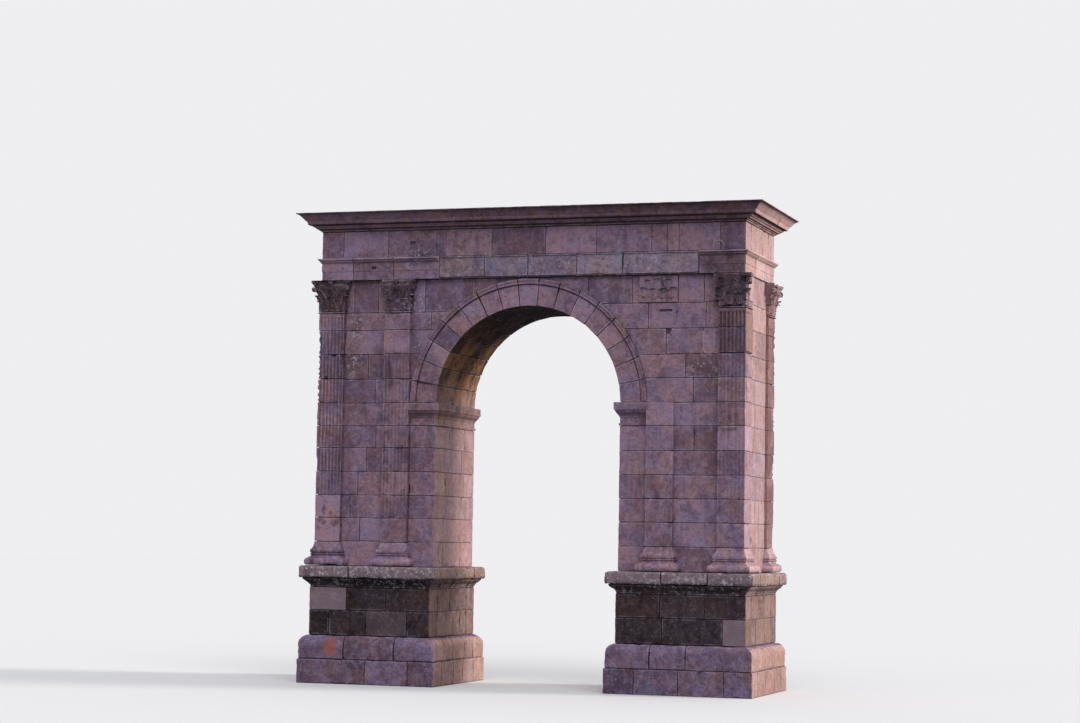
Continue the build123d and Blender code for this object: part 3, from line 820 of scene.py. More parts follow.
def broken_capital(stones, **style):
    """What is left of the corner capital of the right front: a rough block, low carving and one horn."""
    front = -SHAFT_FACE - 0.05
    low_x, high_x = CORNER_START - ABACUS_BESIDE, SHAFT_END + 0.025
    waist = SHAFT_TOP + 0.14
    block(stones, (CORNER_START, -SHAFT_FACE - 0.01, SHAFT_TOP), (SHAFT_END, -CORNER_INNER_Y, waist + 0.02),
          "LRFB", **style)
    block(stones, (low_x, front, waist), (high_x, -CORNER_INNER_Y, ARCHITRAVE_FOOT), "LRFBU",
          soot=return_painted_light, **style)
    low = ARCHITRAVE_FOOT - ABACUS_HEIGHT
    block(stones, (SHAFT_END - 0.12, -SHAFT_FACE - ABACUS_OUT, low),
          (SHAFT_END + ABACUS_OUT, -SHAFT_FACE + 0.10, ARCHITRAVE_FOOT - 0.003), "LRFBU",
          moulding=Moulding(ABACUS_STEPS, low, 0.1), **style)
    worn = {**style, "rough": 0.012, "chip": 0, "carved": 1.0, "lichen": -0.15}
    remains(stones, CORNER_REMAINS, (low_x + high_x) / 2, front, 0.012, **worn)
    horn(stones, (SHAFT_END, -SHAFT_FACE), (1, -1), **worn)


def capital_front(stones, pilaster, name, **style):
    """Leaves, stalks, scrolls and the flower on one outer face of a capital."""
    axis, end = AXIS_OF[name]
    out = np.array(SIDE_OF[name], float)
    along = np.array([-out[1], out[0]])
    middle = np.array([sum(pilaster.x) / 2, sum(pilaster.y) / 2])
    middle[axis] = pilaster.plan[axis][end]

    def at(u, v, w):
        """A place u along the face, v out of it and w up."""
        return (*(middle + along * u + out * v), SHAFT_TOP + w)

    for u in (-0.175, 0.175):
        leaf(stones, at(u, 0.03, 0.0), out, *LOW_LEAF, RNG.choice((1.0, 0.86, 0.93)), **style)
    leaf(stones, at(0, 0.035, 0.10), out, *HIGH_LEAF, RNG.choice((1.0, 0.9)), **style)
    for sign in (-1, 1):
        stalk = [at(sign * u, v, w) for u, v, w in STALK]
        rod(stones, stalk, np.array([*along, 0.0]), (0.03, 0.035, 0.04, 0.045, 0.05), 0.028, **style)
        scroll(stones, at(sign * 0.15, 0.06, 0.34), at(sign * 0.065, 0.10, 0.59), *INNER_SCROLL, **style)
    knob(stones, at(0, 0.12, CAPITAL_HEIGHT - ABACUS_HEIGHT / 2 - 0.005), out, 0.075, 0.055, 6, **style)


def capital(stones, pilaster, **style):
    """A weathered Corinthian capital: bell, two rows of leaves, scrolls and an abacus with flowers."""
    lost = LOST_HORNS.get(pilaster.key)
    low = ARCHITRAVE_FOOT - ABACUS_HEIGHT
    block(stones, *pilaster.box(SHAFT_TOP, low + 0.02), pilaster.around,
          moulding=Moulding(BELL_STEPS, SHAFT_TOP), **style)
    plan = [list(pilaster.x), list(pilaster.y)]
    for name in pilaster.around:
        axis, end = AXIS_OF[name]
        step = ABACUS_BROKEN if name == lost else ABACUS_OUT if name in pilaster.outer else ABACUS_BESIDE
        plan[axis][end] += step if end else -step
    (x0, x1), (y0, y1) = plan
    block(stones, (x0, y0, low), (x1, y1, ARCHITRAVE_FOOT), pilaster.around + "U",
          shape=drawn_in(plan, pilaster.outer, 0.09), moulding=Moulding(ABACUS_STEPS, low),
          **{**style, "chip": 0.06})
    detail = {**style, "rough": 0.009, "chip": 0, "carved": 1.0}
    for name in pilaster.outer:
        capital_front(stones, pilaster, name, **detail)
    for cx, cy in itertools.product((0, 1), repeat=2):
        names = {"LR"[cx], "FB"[cy]}
        at_back = not pilaster.corner and cy != int(pilaster.back)
        if names & set(pilaster.outer) and lost not in names and not at_back:
            horn(stones, (pilaster.x[cx], pilaster.y[cy]), (2 * cx - 1, 2 * cy - 1), **detail)


def pilasters(side, name):
    """Bases, shafts and capitals of one pier, corner and inner ones apart."""
    for place in ("corner", "inner"):
        pair = [Pilaster(side, place, back) for back in (False, True)]
        bases = Stones(edge=0.012, rough=0.009, chip=0.03, lichen=0.3)
        for pilaster in pair:
            block(bases, *pilaster.box(PODIUM_TOP, BASE_TOP), pilaster.around,
                  moulding=Moulding(BASE_STEPS, PODIUM_TOP), soot=base_soot)
        finish(bases, f"{name}_{place}_bases", SHAFT_STONE, "carving")

        shafts = Stones(edge=0.007, rough=0.007, chip=0.028, pitch=0.06)
        for pilaster in pair:
            shaft(shafts, pilaster, tone=SHAFT_TONE.get(pilaster.key, 0))
        if (side, place) == (1, "corner"):
            low = (SHAFT_END - 0.03, -SHAFT_FACE + 0.012, FRESH_PATCH[0])
            high = (SHAFT_END + 0.003, -CORNER_INNER_Y - 0.01, FRESH_PATCH[1])
            block(shafts, low, high, "RFBUT", fresh=1.0, rough=0.002, chip=0.004, edge=0.004)
        finish(shafts, f"{name}_{place}_shafts", SHAFT_STONE, "carving")

        capitals = Stones(edge=0.014, rough=0.012, chip=0.04, crust=0.3, tone=-0.4)
        for pilaster in pair:
            if pilaster.cut_short:
                plain_capital(capitals, crust=-0.25, tone=0.9, lichen=-0.2)
            elif pilaster.broken:
                broken_capital(capitals, lichen=-0.15, crust=0.18)
            else:
                capital(capitals, pilaster)
        finish(capitals, f"{name}_{place}_capitals", CAPITAL_STONE, "carving")


# Materials


class Value:
    """An output of a shader node that can be reckoned with like a number."""

    def __init__(self, graph, socket):
        self.graph = graph
        self.socket = socket

    def __add__(self, other):
        return self.graph.math("ADD", self, other)

    def __sub__(self, other):
        return self.graph.math("SUBTRACT", self, other)

    def __mul__(self, other):
        return self.graph.math("MULTIPLY", self, other)

    def __abs__(self):
        return self.graph.math("ABSOLUTE", self)


class Graph:
    """Short names for building the node tree of a material or of the world."""

    def __init__(self, owner):
        owner.use_nodes = True
        self.tree = owner.node_tree
        self.tree.nodes.clear()

    def join(self, value, target):
        if isinstance(value, Value):
            self.tree.links.new(value.socket, target)
        else:
            target.default_value = value

    def node(self, kind, *values, settings=None, **inputs):
        """Makes a node and gives its outputs by name. Its inputs are given in order or by name."""
        made = self.tree.nodes.new("ShaderNode" + kind)
        for key, value in (settings or {}).items():
            setattr(made, key, value)
        for value, target in zip(values, made.inputs):
            self.join(value, target)
        for key, value in inputs.items():
            self.join(value, made.inputs[key.replace("_", " ")])
        return {output.name: Value(self, output) for output in made.outputs}

    def attribute(self, name):
        return self.node("Attribute", settings={"attribute_name": name})

    def channels(self, colour):
        return self.node("SeparateColor", Color=colour).values()

    def axes(self, vector):
        return self.node("SeparateXYZ", Vector=vector).values()

    def math(self, operation, *values, kind="Math"):
        return self.node(kind, *values, settings={"operation": operation})["Value"]

    def larger(self, a, b):
        return self.math("MAXIMUM", a, b)

    def ramp(self, value, low, high, out_low=0.0, out_high=1.0):
        made = self.node("MapRange", value, low, high, out_low, out_high,
                         settings={"interpolation_type": "SMOOTHSTEP"})
        return made["Result"]

    def mapped(self, vector, **change):
        return self.node("Mapping", Vector=vector, **change)["Vector"]

    def noise(self, vector, scale, detail=3.0, roughness=0.55, distortion=0.0):
        made = self.node("TexNoise", Vector=vector, Scale=scale, Detail=detail, Roughness=roughness,
                         Distortion=distortion)
        return made["Fac"]

    def dots(self, vector, scale, size):
        """Round spots of many sizes, the largest of them a given part of a cell."""
        cells = self.node("TexVoronoi", Vector=vector, Scale=scale)
        chance = list(self.channels(cells["Color"]))[0]
        return self.ramp(cells["Distance"] - chance * chance * size, 0.03, -0.07)

    def mix(self, factor, a, b, blend="MIX"):
        made = self.tree.nodes.new("ShaderNodeMix")
        made.data_type, made.blend_type, made.clamp_factor = "RGBA", blend, True
        for value, index in ((factor, 0), (a, 6), (b, 7)):
            self.join(value, made.inputs[index])
        return Value(self, made.outputs[2])

    def between(self, factor, tones):
        """From the dark to the light one of two tones."""
        return self.mix(factor, tones[1], tones[0])


def linear(c):
    c /= 255
    return c / 12.92 if c <= 0.04045 else ((c + 0.055) / 1.055) ** 2.4


def rgb(r, g, b):
    """A colour as it looks on screen, from 0 to 255, turned into linear light."""
    return (linear(r), linear(g), linear(b), 1.0)


# Each stone has a light and a dark tone for the shaded front and back, and a lighter, warmer pair for its
# other faces: painted sunlight on the faces turned to the warm light
FRONT_TONES = (rgb(172, 147, 164), rgb(112, 91, 105))
SUNLIT_SIDE_TONES = (rgb(224, 195, 192), rgb(172, 139, 134))
HIGH_SUNLIT_SIDE_TONES = (rgb(248, 216, 207), rgb(200, 163, 152))
VAULT_TONES = (rgb(168, 126, 82), rgb(88, 65, 50))
DARK_FRONT_TONES = (rgb(160, 134, 146), rgb(98, 80, 90))
PODIUM_TONES = (rgb(88, 73, 76), rgb(40, 33, 36))
PODIUM_SUNLIT_TONES = (rgb(190, 162, 150), rgb(118, 96, 86))
SOCLE_TONES = (rgb(154, 136, 160), rgb(96, 78, 92))
SOCLE_SUNLIT_TONES = (rgb(226, 192, 178), rgb(176, 140, 124))
RESTORED_TONES = (rgb(170, 158, 174), rgb(112, 100, 114))
FRESH_TONES = (rgb(184, 162, 172), rgb(156, 134, 144))
FRESH_SUNLIT_TONES = (rgb(170, 138, 116), rgb(146, 114, 98))
CRUST = rgb(40, 33, 36)
STREAK = rgb(136, 120, 124)
COOL = rgb(216, 221, 250)
WARM = rgb(255, 229, 213)
LICHEN_PALE = rgb(192, 185, 198)
LICHEN_YELLOW = rgb(176, 160, 132)
HOLE_SHADE = rgb(14, 11, 12)
STAIN = rgb(176, 92, 46)
STAIN_PLACE = (-4.96, -1.87, 0.95)
STAIN_SIZE = 0.30
# Painted sunlight on the ends of the piers and the sides of the passage, which take the sunlit tones: the
# faces at these distances
ENDS_FROM = (5.0, 5.35)
PASSAGE_TO = (2.8, 2.5)
END_WALL = (5.49, 5.52)
# The vault turns from the side tones to its own, and is black at the top
VAULT_FROM = (6.0, 8.2)
VAULT_BLACK = (8.5, 9.3)


def painted_sunlight(g, where, facing):
    """Where sunlight is painted: the faces that the warm light reaches, and the returns at the ends that
    face the front.
    """
    far = g.larger(g.ramp(abs(where[0]), *ENDS_FROM), g.ramp(abs(where[0]), *PASSAGE_TO))
    side = g.ramp(abs(facing[0]), 0.45, 0.8) * far
    behind = g.ramp(where[1], -1.3, -1.2) * g.ramp(facing[1], -0.5, -0.8)
    return g.larger(side, behind * g.ramp(abs(where[0]), *END_WALL))


def stone_material(name, tones, sunlit_tones, crust=0.45, streaks=0.5, lichen=0.10, pitted=0.5, hollows=0.3,
                   vault=False, stained=False):
    """Weathered limestone, with painted sunlight on the faces turned to the warm light, painted shade in
    hollows, on undersides and in holes, and a painted highlight along the arrises. The stone and wear
    attributes say how each block and each place on it differs.
    """
    material = bpy.data.materials.new(name)
    g = Graph(material)
    place = g.node("TexCoord")["Object"]
    geometry = g.node("NewGeometry")
    stone, wear = g.attribute("stone"), g.attribute("wear")
    tone, warm, soot = g.channels(stone["Color"])
    worn, hole, lichen_here = g.channels(wear["Color"])
    fresh, near_arris = stone["Alpha"], wear["Alpha"]
    facing, where = list(g.axes(geometry["Normal"])), list(g.axes(place))
    # Painted sunlight: faces turned to the warm light take the lighter, warmer sunlit tones; under the arch
    # that is every face not turned to the front or back
    side = g.ramp(abs(facing[1]), 0.8, 0.45) if vault else painted_sunlight(g, where, facing)
    large = g.noise(place, 0.8, 4.0, 0.6, 0.4)
    medium = g.noise(place, 3.2, 5.0, 0.65, 0.3)
    patchy = g.noise(place, 7.5, 4.0, 0.62, 0.5)
    small = g.noise(place, 19.0, 4.0, 0.62)
    fine = g.noise(place, 60.0, 3.0, 0.6)
    moved = g.mapped(place, Location=(7.3, 2.9, 11.1))
    hue = g.noise(moved, 1.9, 5.0, 0.6, 0.4)
    # Blotches, and a tone of its own for each block
    shade = (tone - 0.5) * 0.7 + large * 0.3 + medium * 0.35 + patchy * 0.35
    shade = g.ramp((small - 0.5) * 0.25 + shade, 0.34, 0.66)
    other = g.between(shade, sunlit_tones)
    if vault:
        ochre = g.between(g.ramp(hue * 0.5 + shade * 0.25, 0.30, 0.46), VAULT_TONES)
        other = g.mix(g.ramp(where[2], *VAULT_FROM), other, ochre)
        other = g.mix(g.ramp(where[2], *VAULT_BLACK) * 0.85, other, CRUST)
    colour = g.mix(side, g.between(shade, tones), other)
    warmth = (hue - 0.5) * g.ramp(side, 0.0, 1.0, 1.5, 0.4) + warm
    tint = g.mix(g.ramp(warmth, 0.2, 0.8), COOL, WARM)
    colour = g.mix(0.7, colour, g.mix(1.0, colour, tint, "MULTIPLY"))
    new_stone = g.mix(side, g.between(shade, FRESH_TONES), g.between(shade, FRESH_SUNLIT_TONES))
    colour = g.mix(fresh * 0.85, colour, new_stone)
    # Rain streaks
    streak = g.ramp(g.noise(g.mapped(place, Scale=(6.0, 6.0, 0.5)), 1.0, 4.0, 0.6, 0.3), 0.50, 0.72)
    streak *= g.ramp(large, 0.42, 0.62, 0.1, 1.0)
    colour = g.mix(streak * streaks, colour, g.mix(1.0, colour, STREAK, "MULTIPLY"))
    # Dark crust in patches, along the joints and where arrises are broken, with crust and painted shade in
    # hollows, painted shade on undersides, and the dirt and painted light and shade each stone carries; the
    # painted sunlit faces get less of it
    crust_and_painted_shade = g.ramp(large, 0.53, 0.66) * g.ramp(medium, 0.42, 0.6) * 0.75 + worn * 0.55 + soot
    crust_and_painted_shade += g.ramp(geometry["Pointiness"], 0.485, 0.42) * hollows
    crust_and_painted_shade += g.ramp(facing[2], -0.35, -0.85) * (0.9 if vault else 0.4)
    crust_and_painted_shade += near_arris * g.ramp(medium, 0.42, 0.6) * 0.55
    crust_and_painted_shade += (patchy - 0.5) * 0.7 + (small - 0.5) * 0.9
    crust_and_painted_shade = g.ramp(crust_and_painted_shade, 0.18, 0.85) * crust * g.ramp(side, 0.0, 1.0, 1.0, 1.0 if vault else 0.42)
    colour = g.mix(crust_and_painted_shade, colour, CRUST)
    # A pale line along the arrises: pale mortar and bruised stone, and a painted highlight
    rim = g.ramp(near_arris, 0.02, 0.14) * g.ramp(near_arris, 0.5, 0.3)
    rim *= g.ramp(medium, 0.42, 0.62, 0.0, 0.4)
    colour = g.mix(rim, colour, g.mix(0.5, tones[0], LICHEN_PALE))
    # Long pores along the bed, dark pits and pale lichen
    pores = g.ramp(g.noise(g.mapped(place, Scale=(9.0, 9.0, 24.0)), 1.0, 4.0, 0.65), 0.60, 0.70)
    pits = g.dots(place, 24.0, 0.42) * g.ramp(patchy, 0.48, 0.6)
    pits = g.larger(pits, pores * g.ramp(medium, 0.44, 0.6))
    colour = g.mix(pits * pitted, colour, CRUST)
    spots = g.larger(g.dots(place, 13.0, 0.48), g.dots(place, 31.0, 0.42)) * g.ramp(patchy, 0.42, 0.58)
    rings = g.ramp(g.noise(moved, 9.0, 4.0, 0.7), 0.54, 0.62) * 0.7
    spots = g.larger(spots, rings) * (lichen_here + lichen)
    colour = g.mix(spots, colour, g.mix(g.ramp(hue, 0.56, 0.66), LICHEN_PALE, LICHEN_YELLOW))
    if stained:
        away = (medium - 0.5) * 0.5 + g.math("DISTANCE", place, STAIN_PLACE, kind="VectorMath")
        colour = g.mix(g.ramp(away, STAIN_SIZE, 0.2 * STAIN_SIZE, 0.0, 0.7), colour, STAIN)
    # Holes are painted near black: painted shade inside them
    colour = g.mix(hole, colour, HOLE_SHADE)
    height = patchy * 0.8 + small * 0.5 + fine * 0.22 + pits * -0.8
    bump = g.node("Bump", Height=height, Strength=0.75, Distance=0.02)["Normal"]
    surface = g.node("BsdfPrincipled", Base_Color=colour, Normal=bump, Roughness=0.92,
                     Specular_IOR_Level=0.18)
    g.node("OutputMaterial", Surface=surface["BSDF"])
    return material


WALL_STONE = stone_material("wall_stone", FRONT_TONES, SUNLIT_SIDE_TONES)
ARCH_STONE = stone_material("arch_stone", FRONT_TONES, SUNLIT_SIDE_TONES, hollows=0.1, vault=True)
SHAFT_STONE = stone_material("shaft_stone", FRONT_TONES, SUNLIT_SIDE_TONES, crust=0.6, streaks=0.7)
CAPITAL_STONE = stone_material("capital_stone", DARK_FRONT_TONES, SUNLIT_SIDE_TONES, crust=0.65, lichen=0.25,
                               hollows=0.5)
FRIEZE_STONE = stone_material("frieze_stone", FRONT_TONES, HIGH_SUNLIT_SIDE_TONES, crust=0.5, pitted=0.35)
CORNICE_STONE = stone_material("cornice_stone", DARK_FRONT_TONES, HIGH_SUNLIT_SIDE_TONES, crust=0.58, lichen=0.05,
                               hollows=0.15)
RESTORED_STONE = stone_material("restored_stone", RESTORED_TONES, SUNLIT_SIDE_TONES, pitted=0.8, lichen=0.35)
PODIUM_STONE = stone_material("podium_stone", PODIUM_TONES, PODIUM_SUNLIT_TONES, crust=0.6, lichen=0.05)
SOCLE_STONE = stone_material("socle_stone", SOCLE_TONES, SOCLE_SUNLIT_TONES, lichen=0.2, pitted=1.0,
                             stained=True)


# Masonry. Places are read from the photograph; sides are -1 for the left pier and 1 for the right one.

# Course levels of each pier and of the wall over the arch
COURSES = {
    -1: (PODIUM_TOP, 3.60, 4.19, 4.77, 5.37, 5.97, IMPOST_FOOT, SPRINGING, 7.72, 8.355, 8.97, 9.42,
         ARCHITRAVE_FOOT),
    1: (PODIUM_TOP, 3.58, 4.17, 4.75, 5.33, 5.92, IMPOST_FOOT, SPRINGING, 7.71, 8.29, 8.93, 9.56,
        ARCHITRAVE_FOOT),
}
PIER_COURSES = range(0, 7)
SPANDREL_COURSES = range(7, 12)
# Upright joints of the front for each course from the podium up
FRONT_JOINTS = {
    -1: {1: (-4.45,), 2: (-4.72,), 3: (-4.52,), 4: (-4.3,), 5: (-4.05,), 6: (-3.73,), 7: (-4.10, -3.01),
         8: (-4.30, -2.2), 9: (-3.86, -3.04, -1.95), 10: (-3.84, -2.6),
         11: (-4.71, -4.05, -2.77, -1.50, -0.3)},
    1: {5: (4.3,), 7: (4.27,), 8: (4.07, 2.5), 9: (3.57, 4.505, 2.3), 10: (3.11, 4.57, 1.9),
        11: (2.7, 3.87, 4.52, 1.55, 0.55)},
}
FRIEZE_JOINTS = (-4.99, -3.755, -2.446, -2.19, -0.96, 0.46, 1.79, 3.21, 3.60, 3.90, 4.95)
ARCHITRAVE_JOINTS = (-4.71, -3.6, -1.16, 0.0, 1.28, 2.46)
CORNICE_JOINTS = (-1.93, 1.45)
# Holes in the front: place along it, height, width, size upright and depth
HOLES = (
    (-3.09, 11.18, 0.11, 0.05, 0.09),
    (-4.14, 10.56, 0.11, 0.045, 0.08),
    (3.605, 8.90, 0.17, 0.04, 0.10),
    (3.61, 8.86, 0.11, 0.038, 0.10),
    (3.615, 8.82, 0.05, 0.04, 0.10),
    (3.553, 9.371, 0.30, 0.03, 0.08),
)
# Ridges shaped like a hoop, on the right bay and on the frieze over the corner capital: middle, width, arms
BAY_HOOP = ((4.65, 8.44), 0.285, 0.41)
FRIEZE_HOOP = ((4.90, 10.93), 0.25, 0.10)
# Drums are counted from the foot. The flutes of some are worn, others were replaced by plain stones
FLUTE_ENDS = [BASE_TOP + FLUTE_FOOT + d for d in (0, 0.007, 0.02, 0.032)]
FLUTE_ENDS += [SHAFT_TOP - ASTRAGAL_HEIGHT - FLUTE_FOOT - d for d in (0, 0.007, 0.02, 0.032)]
FLUTE_STRENGTH = {
    ("left", "corner", False): {0: 0, 1: 0, 2: 0.5, 9: 0.6},
    ("left", "inner", False): {0: 0, 1: 0.5, 2: 0.6, 3: 0.6, 4: 0.6, 5: 0.55, 6: 0.5, 7: 0.35, 8: 0.2, 9: 0},
    ("right", "inner", False): {0: 0, 1: 0, 2: 0, 3: 0, 4: 0.2, 5: 0},
    ("right", "corner", False): {0: 0, 1: 0.2, 2: 0.3, 3: 0.35, 4: 0.3, 5: 0.3, 6: 0.4, 7: 0.55},
    ("left", "corner", True): {3: 0, 4: 0.4},
    ("right", "inner", True): {1: 0, 6: 0.4},
}
DRUM_STYLE = {
    ("left", "corner", False): {0: {"tone": 0.8}, 1: {"tone": 0.8}, 6: {"chip": 0.07}, 7: {"chip": 0.10},
                                8: {"chip": 0.06}},
    ("right", "corner", False): {8: {"tone": -0.6, "crust": 0.15}, 9: {"tone": -0.6, "crust": 0.2}},
    ("right", "corner", True): {3: {"chip": 0.07}, 6: {"chip": 0.07}, 7: {"chip": 0.07, "pitch": 0.035},
                                8: {"chip": 0.09, "pitch": 0.035}},
}
SHAFT_TONE = {("right", "corner", True): -1.1}
DRUM_JOINTS = {(("right", "corner", False), 7): (5.03,)}
OPEN_BEDS = {(("right", "corner", False), 8): 0.018, (("left", "corner", False), 7): 0.010}
FRESH_PATCH = (8.34, 9.26)
# Drums whose outer arris is eaten into
BITTEN_DRUMS = {(("right", "corner", True), course) for course in (3, 5, 7, 8, 9)}
BITTEN_DRUMS |= {(("left", "corner", False), course) for course in (6, 7, 8)}
BITE_PITCH = 0.135
BITE_DEPTH = 0.055

STONE_LENGTH = 1.1
STONE_DEPTH = 0.2
# How far wall stones and the core of the wall reach behind the ring of the arch
RING_COVER = 0.10
STONES_BEHIND_RING = 0.25
CORE_BEHIND_RING = 0.12
TUCKED_IN = 0.04
CORE_RIM = 0.05
BED_INSET = 0.022
BED_HALF = 0.012


def wall_course(stones, side, course, low_x, high_x, back, earlier=0.0, **style):
    """One course of the front or back between two distances from the middle of the passage."""
    x0, x1 = mirrored(side, low_x, high_x)
    y0, y1 = (WALL_FACE - STONE_DEPTH, WALL_FACE) if back else (-WALL_FACE, STONE_DEPTH - WALL_FACE)
    z0, z1 = COURSES[side][course:course + 2]
    joints = random_joints(x0 - earlier, x1, STONE_LENGTH) if back else FRONT_JOINTS[side].get(course, ())
    for a, b in spans(x0, x1, joints):
        block(stones, (a, y0, z0), (b, y1, z1), "B" if back else "F", holes=HOLES, **style)


def bay(stones, side, courses, back):
    """The wall between the pilasters, course by course."""
    for course in courses:
        wall_course(stones, side, course, INNER_END - TUCKED_IN, CORNER_START + TUCKED_IN, back, earlier=0.6)


def end_wall(stones, side, courses):
    """The end of the pier between its two corner pilasters."""
    x0, x1 = mirrored(side, WALL_END - STONE_DEPTH, WALL_END)
    width = CORNER_INNER_Y + TUCKED_IN
    face = "R" if side > 0 else "L"
    for course in courses:
        z0, z1 = COURSES[side][course:course + 2]
        for a, b in spans(-width, width, random_joints(-width - 0.5, width, 1.25)):
            block(stones, (x0, a, z0), (x1, b, z1), face, gap=0.001, edge=0.004, chip=0.02)


def wall_core(stones, side, near, low, high):
    """The dark inside of a wall from a distance to its end."""
    x0, x1 = mirrored(side, near, WALL_END - CORE_INSET)
    inset = WALL_FACE - CORE_INSET
    core(stones, (x0, -inset, low), (x1, inset, high))


def pier_wall(side, name):
    stones = Stones()
    wall_core(stones, side, RING_OUTER + 0.02, PODIUM_TOP, SPRINGING)
    for back in (False, True):
        bay(stones, side, PIER_COURSES, back)
    end_wall(stones, side, PIER_COURSES)
    finish(stones, f"{name}_pier_wall", WALL_STONE)


def clear_of_ring(points):
    """Keeps wall stones off the arch: what would hang into it ends behind the ring."""
    x, z = points[:, 0], points[:, 2] - SPRINGING
    radius = np.hypot(x, z)
    least = RING_OUTER - RING_COVER
    scale = np.where((radius < least) & (z > -0.01), least / np.maximum(radius, 1e-6), 1.0)
    moved = points.copy()
    moved[:, 0] *= scale
    moved[:, 2] = np.where(scale > 1, SPRINGING + z * scale, points[:, 2])
    return moved


def ring_width(radius, rise):
    """Half the width of a circle round the middle of the arch at a height over the springing."""
    return math.sqrt(max(radius**2 - rise**2, 0.0))


SPANDREL_SLICES = 10


def spandrel(side, name):
    """The wall over the arch as far as its middle."""
    stones = Stones()
    end_wall(stones, side, SPANDREL_COURSES)
    for back in (False, True):
        bare = Pilaster(side, "inner", back).cut_short
        if not bare:
            bay(stones, side, SPANDREL_COURSES, back)
        far = (CORNER_START if bare else INNER_START) + TUCKED_IN
        for course in SPANDREL_COURSES:
            near = ring_width(RING_OUTER - STONES_BEHIND_RING, COURSES[side][course + 1] - SPRINGING)
            wall_course(stones, side, course, near, far, back, shape=clear_of_ring)
    if side > 0:
        hoop(stones, *BAY_HOOP, -1, WALL_FACE, fresh=0.8, tone=1.2, crust=-0.4)
    rise = (ARCHITRAVE_FOOT - SPRINGING) / SPANDREL_SLICES
    for i in range(SPANDREL_SLICES):
        near = ring_width(RING_OUTER - CORE_BEHIND_RING, i * rise)
        wall_core(stones, side, near, SPRINGING + i * rise, SPRINGING + (i + 1) * rise)
    finish(stones, f"{name}_spandrel", WALL_STONE)


def in_depth(stones, x, z, cuts, inside, at_ends, **style):
    """Stones one behind another from the front to the back; more faces show on the first and the last."""
    rows = runs([-BAND_FACE, *cuts, BAND_FACE])
    for place, (a, b) in enumerate(rows):
        end = "F" + at_ends if place == 0 else "B" + at_ends if place == len(rows) - 1 else ""
        block(stones, (x[0], a, z[0]), (x[1], b, z[1]), inside + end, **style)


def beside_passage(stones, side, low, high):
    """Lays the core of a piece beside the passage; gives its x range, its inner and its outer face."""
    x0, x1 = mirrored(side, PASSAGE + CORE_INSET, RING_OUTER + CORE_RIM)
    inset = BAND_FACE - CORE_INSET
    core(stones, (x0, -inset, low), (x1, inset, high))
    return mirrored(side, PASSAGE, RING_OUTER), *("LR" if side > 0 else "RL")


def jamb(side, name):
    """Plain pilaster beside the passage, three stones deep in each course."""
    stones = Stones()
    x, passage, _ = beside_passage(stones, side, PODIUM_TOP, IMPOST_FOOT)
    for z in runs([level for level in COURSES[side] if level <= IMPOST_FOOT + 0.01]):
        in_depth(stones, x, z, (-RNG.uniform(0.35, 0.8), RNG.uniform(0.35, 0.8)), passage, "")
    finish(stones, f"{name}_jamb", ARCH_STONE)


IMPOST_STEPS = (
    [(0.0, 0.02), (0.065, 0.025), (0.07, 0.0), (0.20, 0.0)]
    + curve((0.205, 0.01), (0.385, 0.105), "cyma")
    + [(0.39, 0.128), (0.575, 0.13)]
)


def impost(side, name):
    stones = Stones(crust=0.1)
    x, passage, outer = beside_passage(stones, side, IMPOST_FOOT, SPRINGING)
    in_depth(stones, x, (IMPOST_FOOT, SPRINGING), (-0.55, 0.5), passage + "T", outer,
             moulding=Moulding(IMPOST_STEPS, IMPOST_FOOT))
    finish(stones, f"{name}_impost", ARCH_STONE)


# The outer band of the arch, by radius: its groove and what stands out of it
BAND_STEPS = [(-0.18, 0.0), (-0.165, 0.0), (-0.158, -0.014), (-0.146, -0.014), (-0.138, 0.03)]
BAND_STEPS += [(-0.07, 0.034), (-0.062, 0.045), (-0.012, 0.055), (0.0, 0.055)]
BAND = Moulding(BAND_STEPS, RING_OUTER)
MIDDLE_RADIUS = (PASSAGE + RING_OUTER) / 2
RING_NAMES = [f"right_voussoir_{i}" for i in range(1, VOUSSOIRS // 2 + 1)] + ["keystone"]
RING_NAMES += [f"left_voussoir_{i}" for i in range(VOUSSOIRS // 2, 0, -1)]


def band_shade_and_joint(points):
    """Painted shade in the groove under the band, and a dark line along its back, part joint and part
    painted shade; the points are not bent yet.
    """
    radius = points[:, 2]
    proud = np.abs(points[:, 1]) > BAND_FACE - 0.06
    groove = np.exp(-(((radius - RING_OUTER + 0.152) / 0.009) ** 2))
    return proud * (0.7 * groove + 0.5 * (radius > RING_OUTER - 0.004))


def bent(points):
    """Bends a straight row of stones, with radius for height, into the arch."""
    angle, radius = points[:, 0] / MIDDLE_RADIUS, points[:, 2]
    return np.stack([radius * np.cos(angle), points[:, 1], SPRINGING + radius * np.sin(angle)], 1)


def moulded(points):
    """Stands the band out of both faces of the arch, then bends it."""
    near = np.clip(1 - (BAND_FACE - np.abs(points[:, 1])) / 0.15, 0, 1)
    moved = points.copy()
    moved[:, 1] += np.sign(points[:, 1]) * near * BAND.out(points[:, 2])
    return bent(moved)


def voussoir(index, name):
    """One wedge of the arch: a front stone, two under the vault and a back stone."""
    stones = Stones(edge=0.008, chip=0.025)
    x = (index * STEP * MIDDLE_RADIUS, (index + 1) * STEP * MIDDLE_RADIUS)
    cuts = (-RNG.uniform(0.5, 0.95), RNG.uniform(-0.15, 0.15), RNG.uniform(0.5, 0.95))
    in_depth(stones, x, (PASSAGE, RING_OUTER), cuts, "U", "T", shape=moulded, pitch=0.065, soot=band_shade_and_joint,
             extra=((), (), BAND.heights))
    inset = BAND_FACE - CORE_INSET
    core(stones, (x[0], -inset, PASSAGE + CORE_INSET), (x[1], inset, RING_OUTER - 0.02), bent)
    finish(stones, name, ARCH_STONE, suffix="stones")


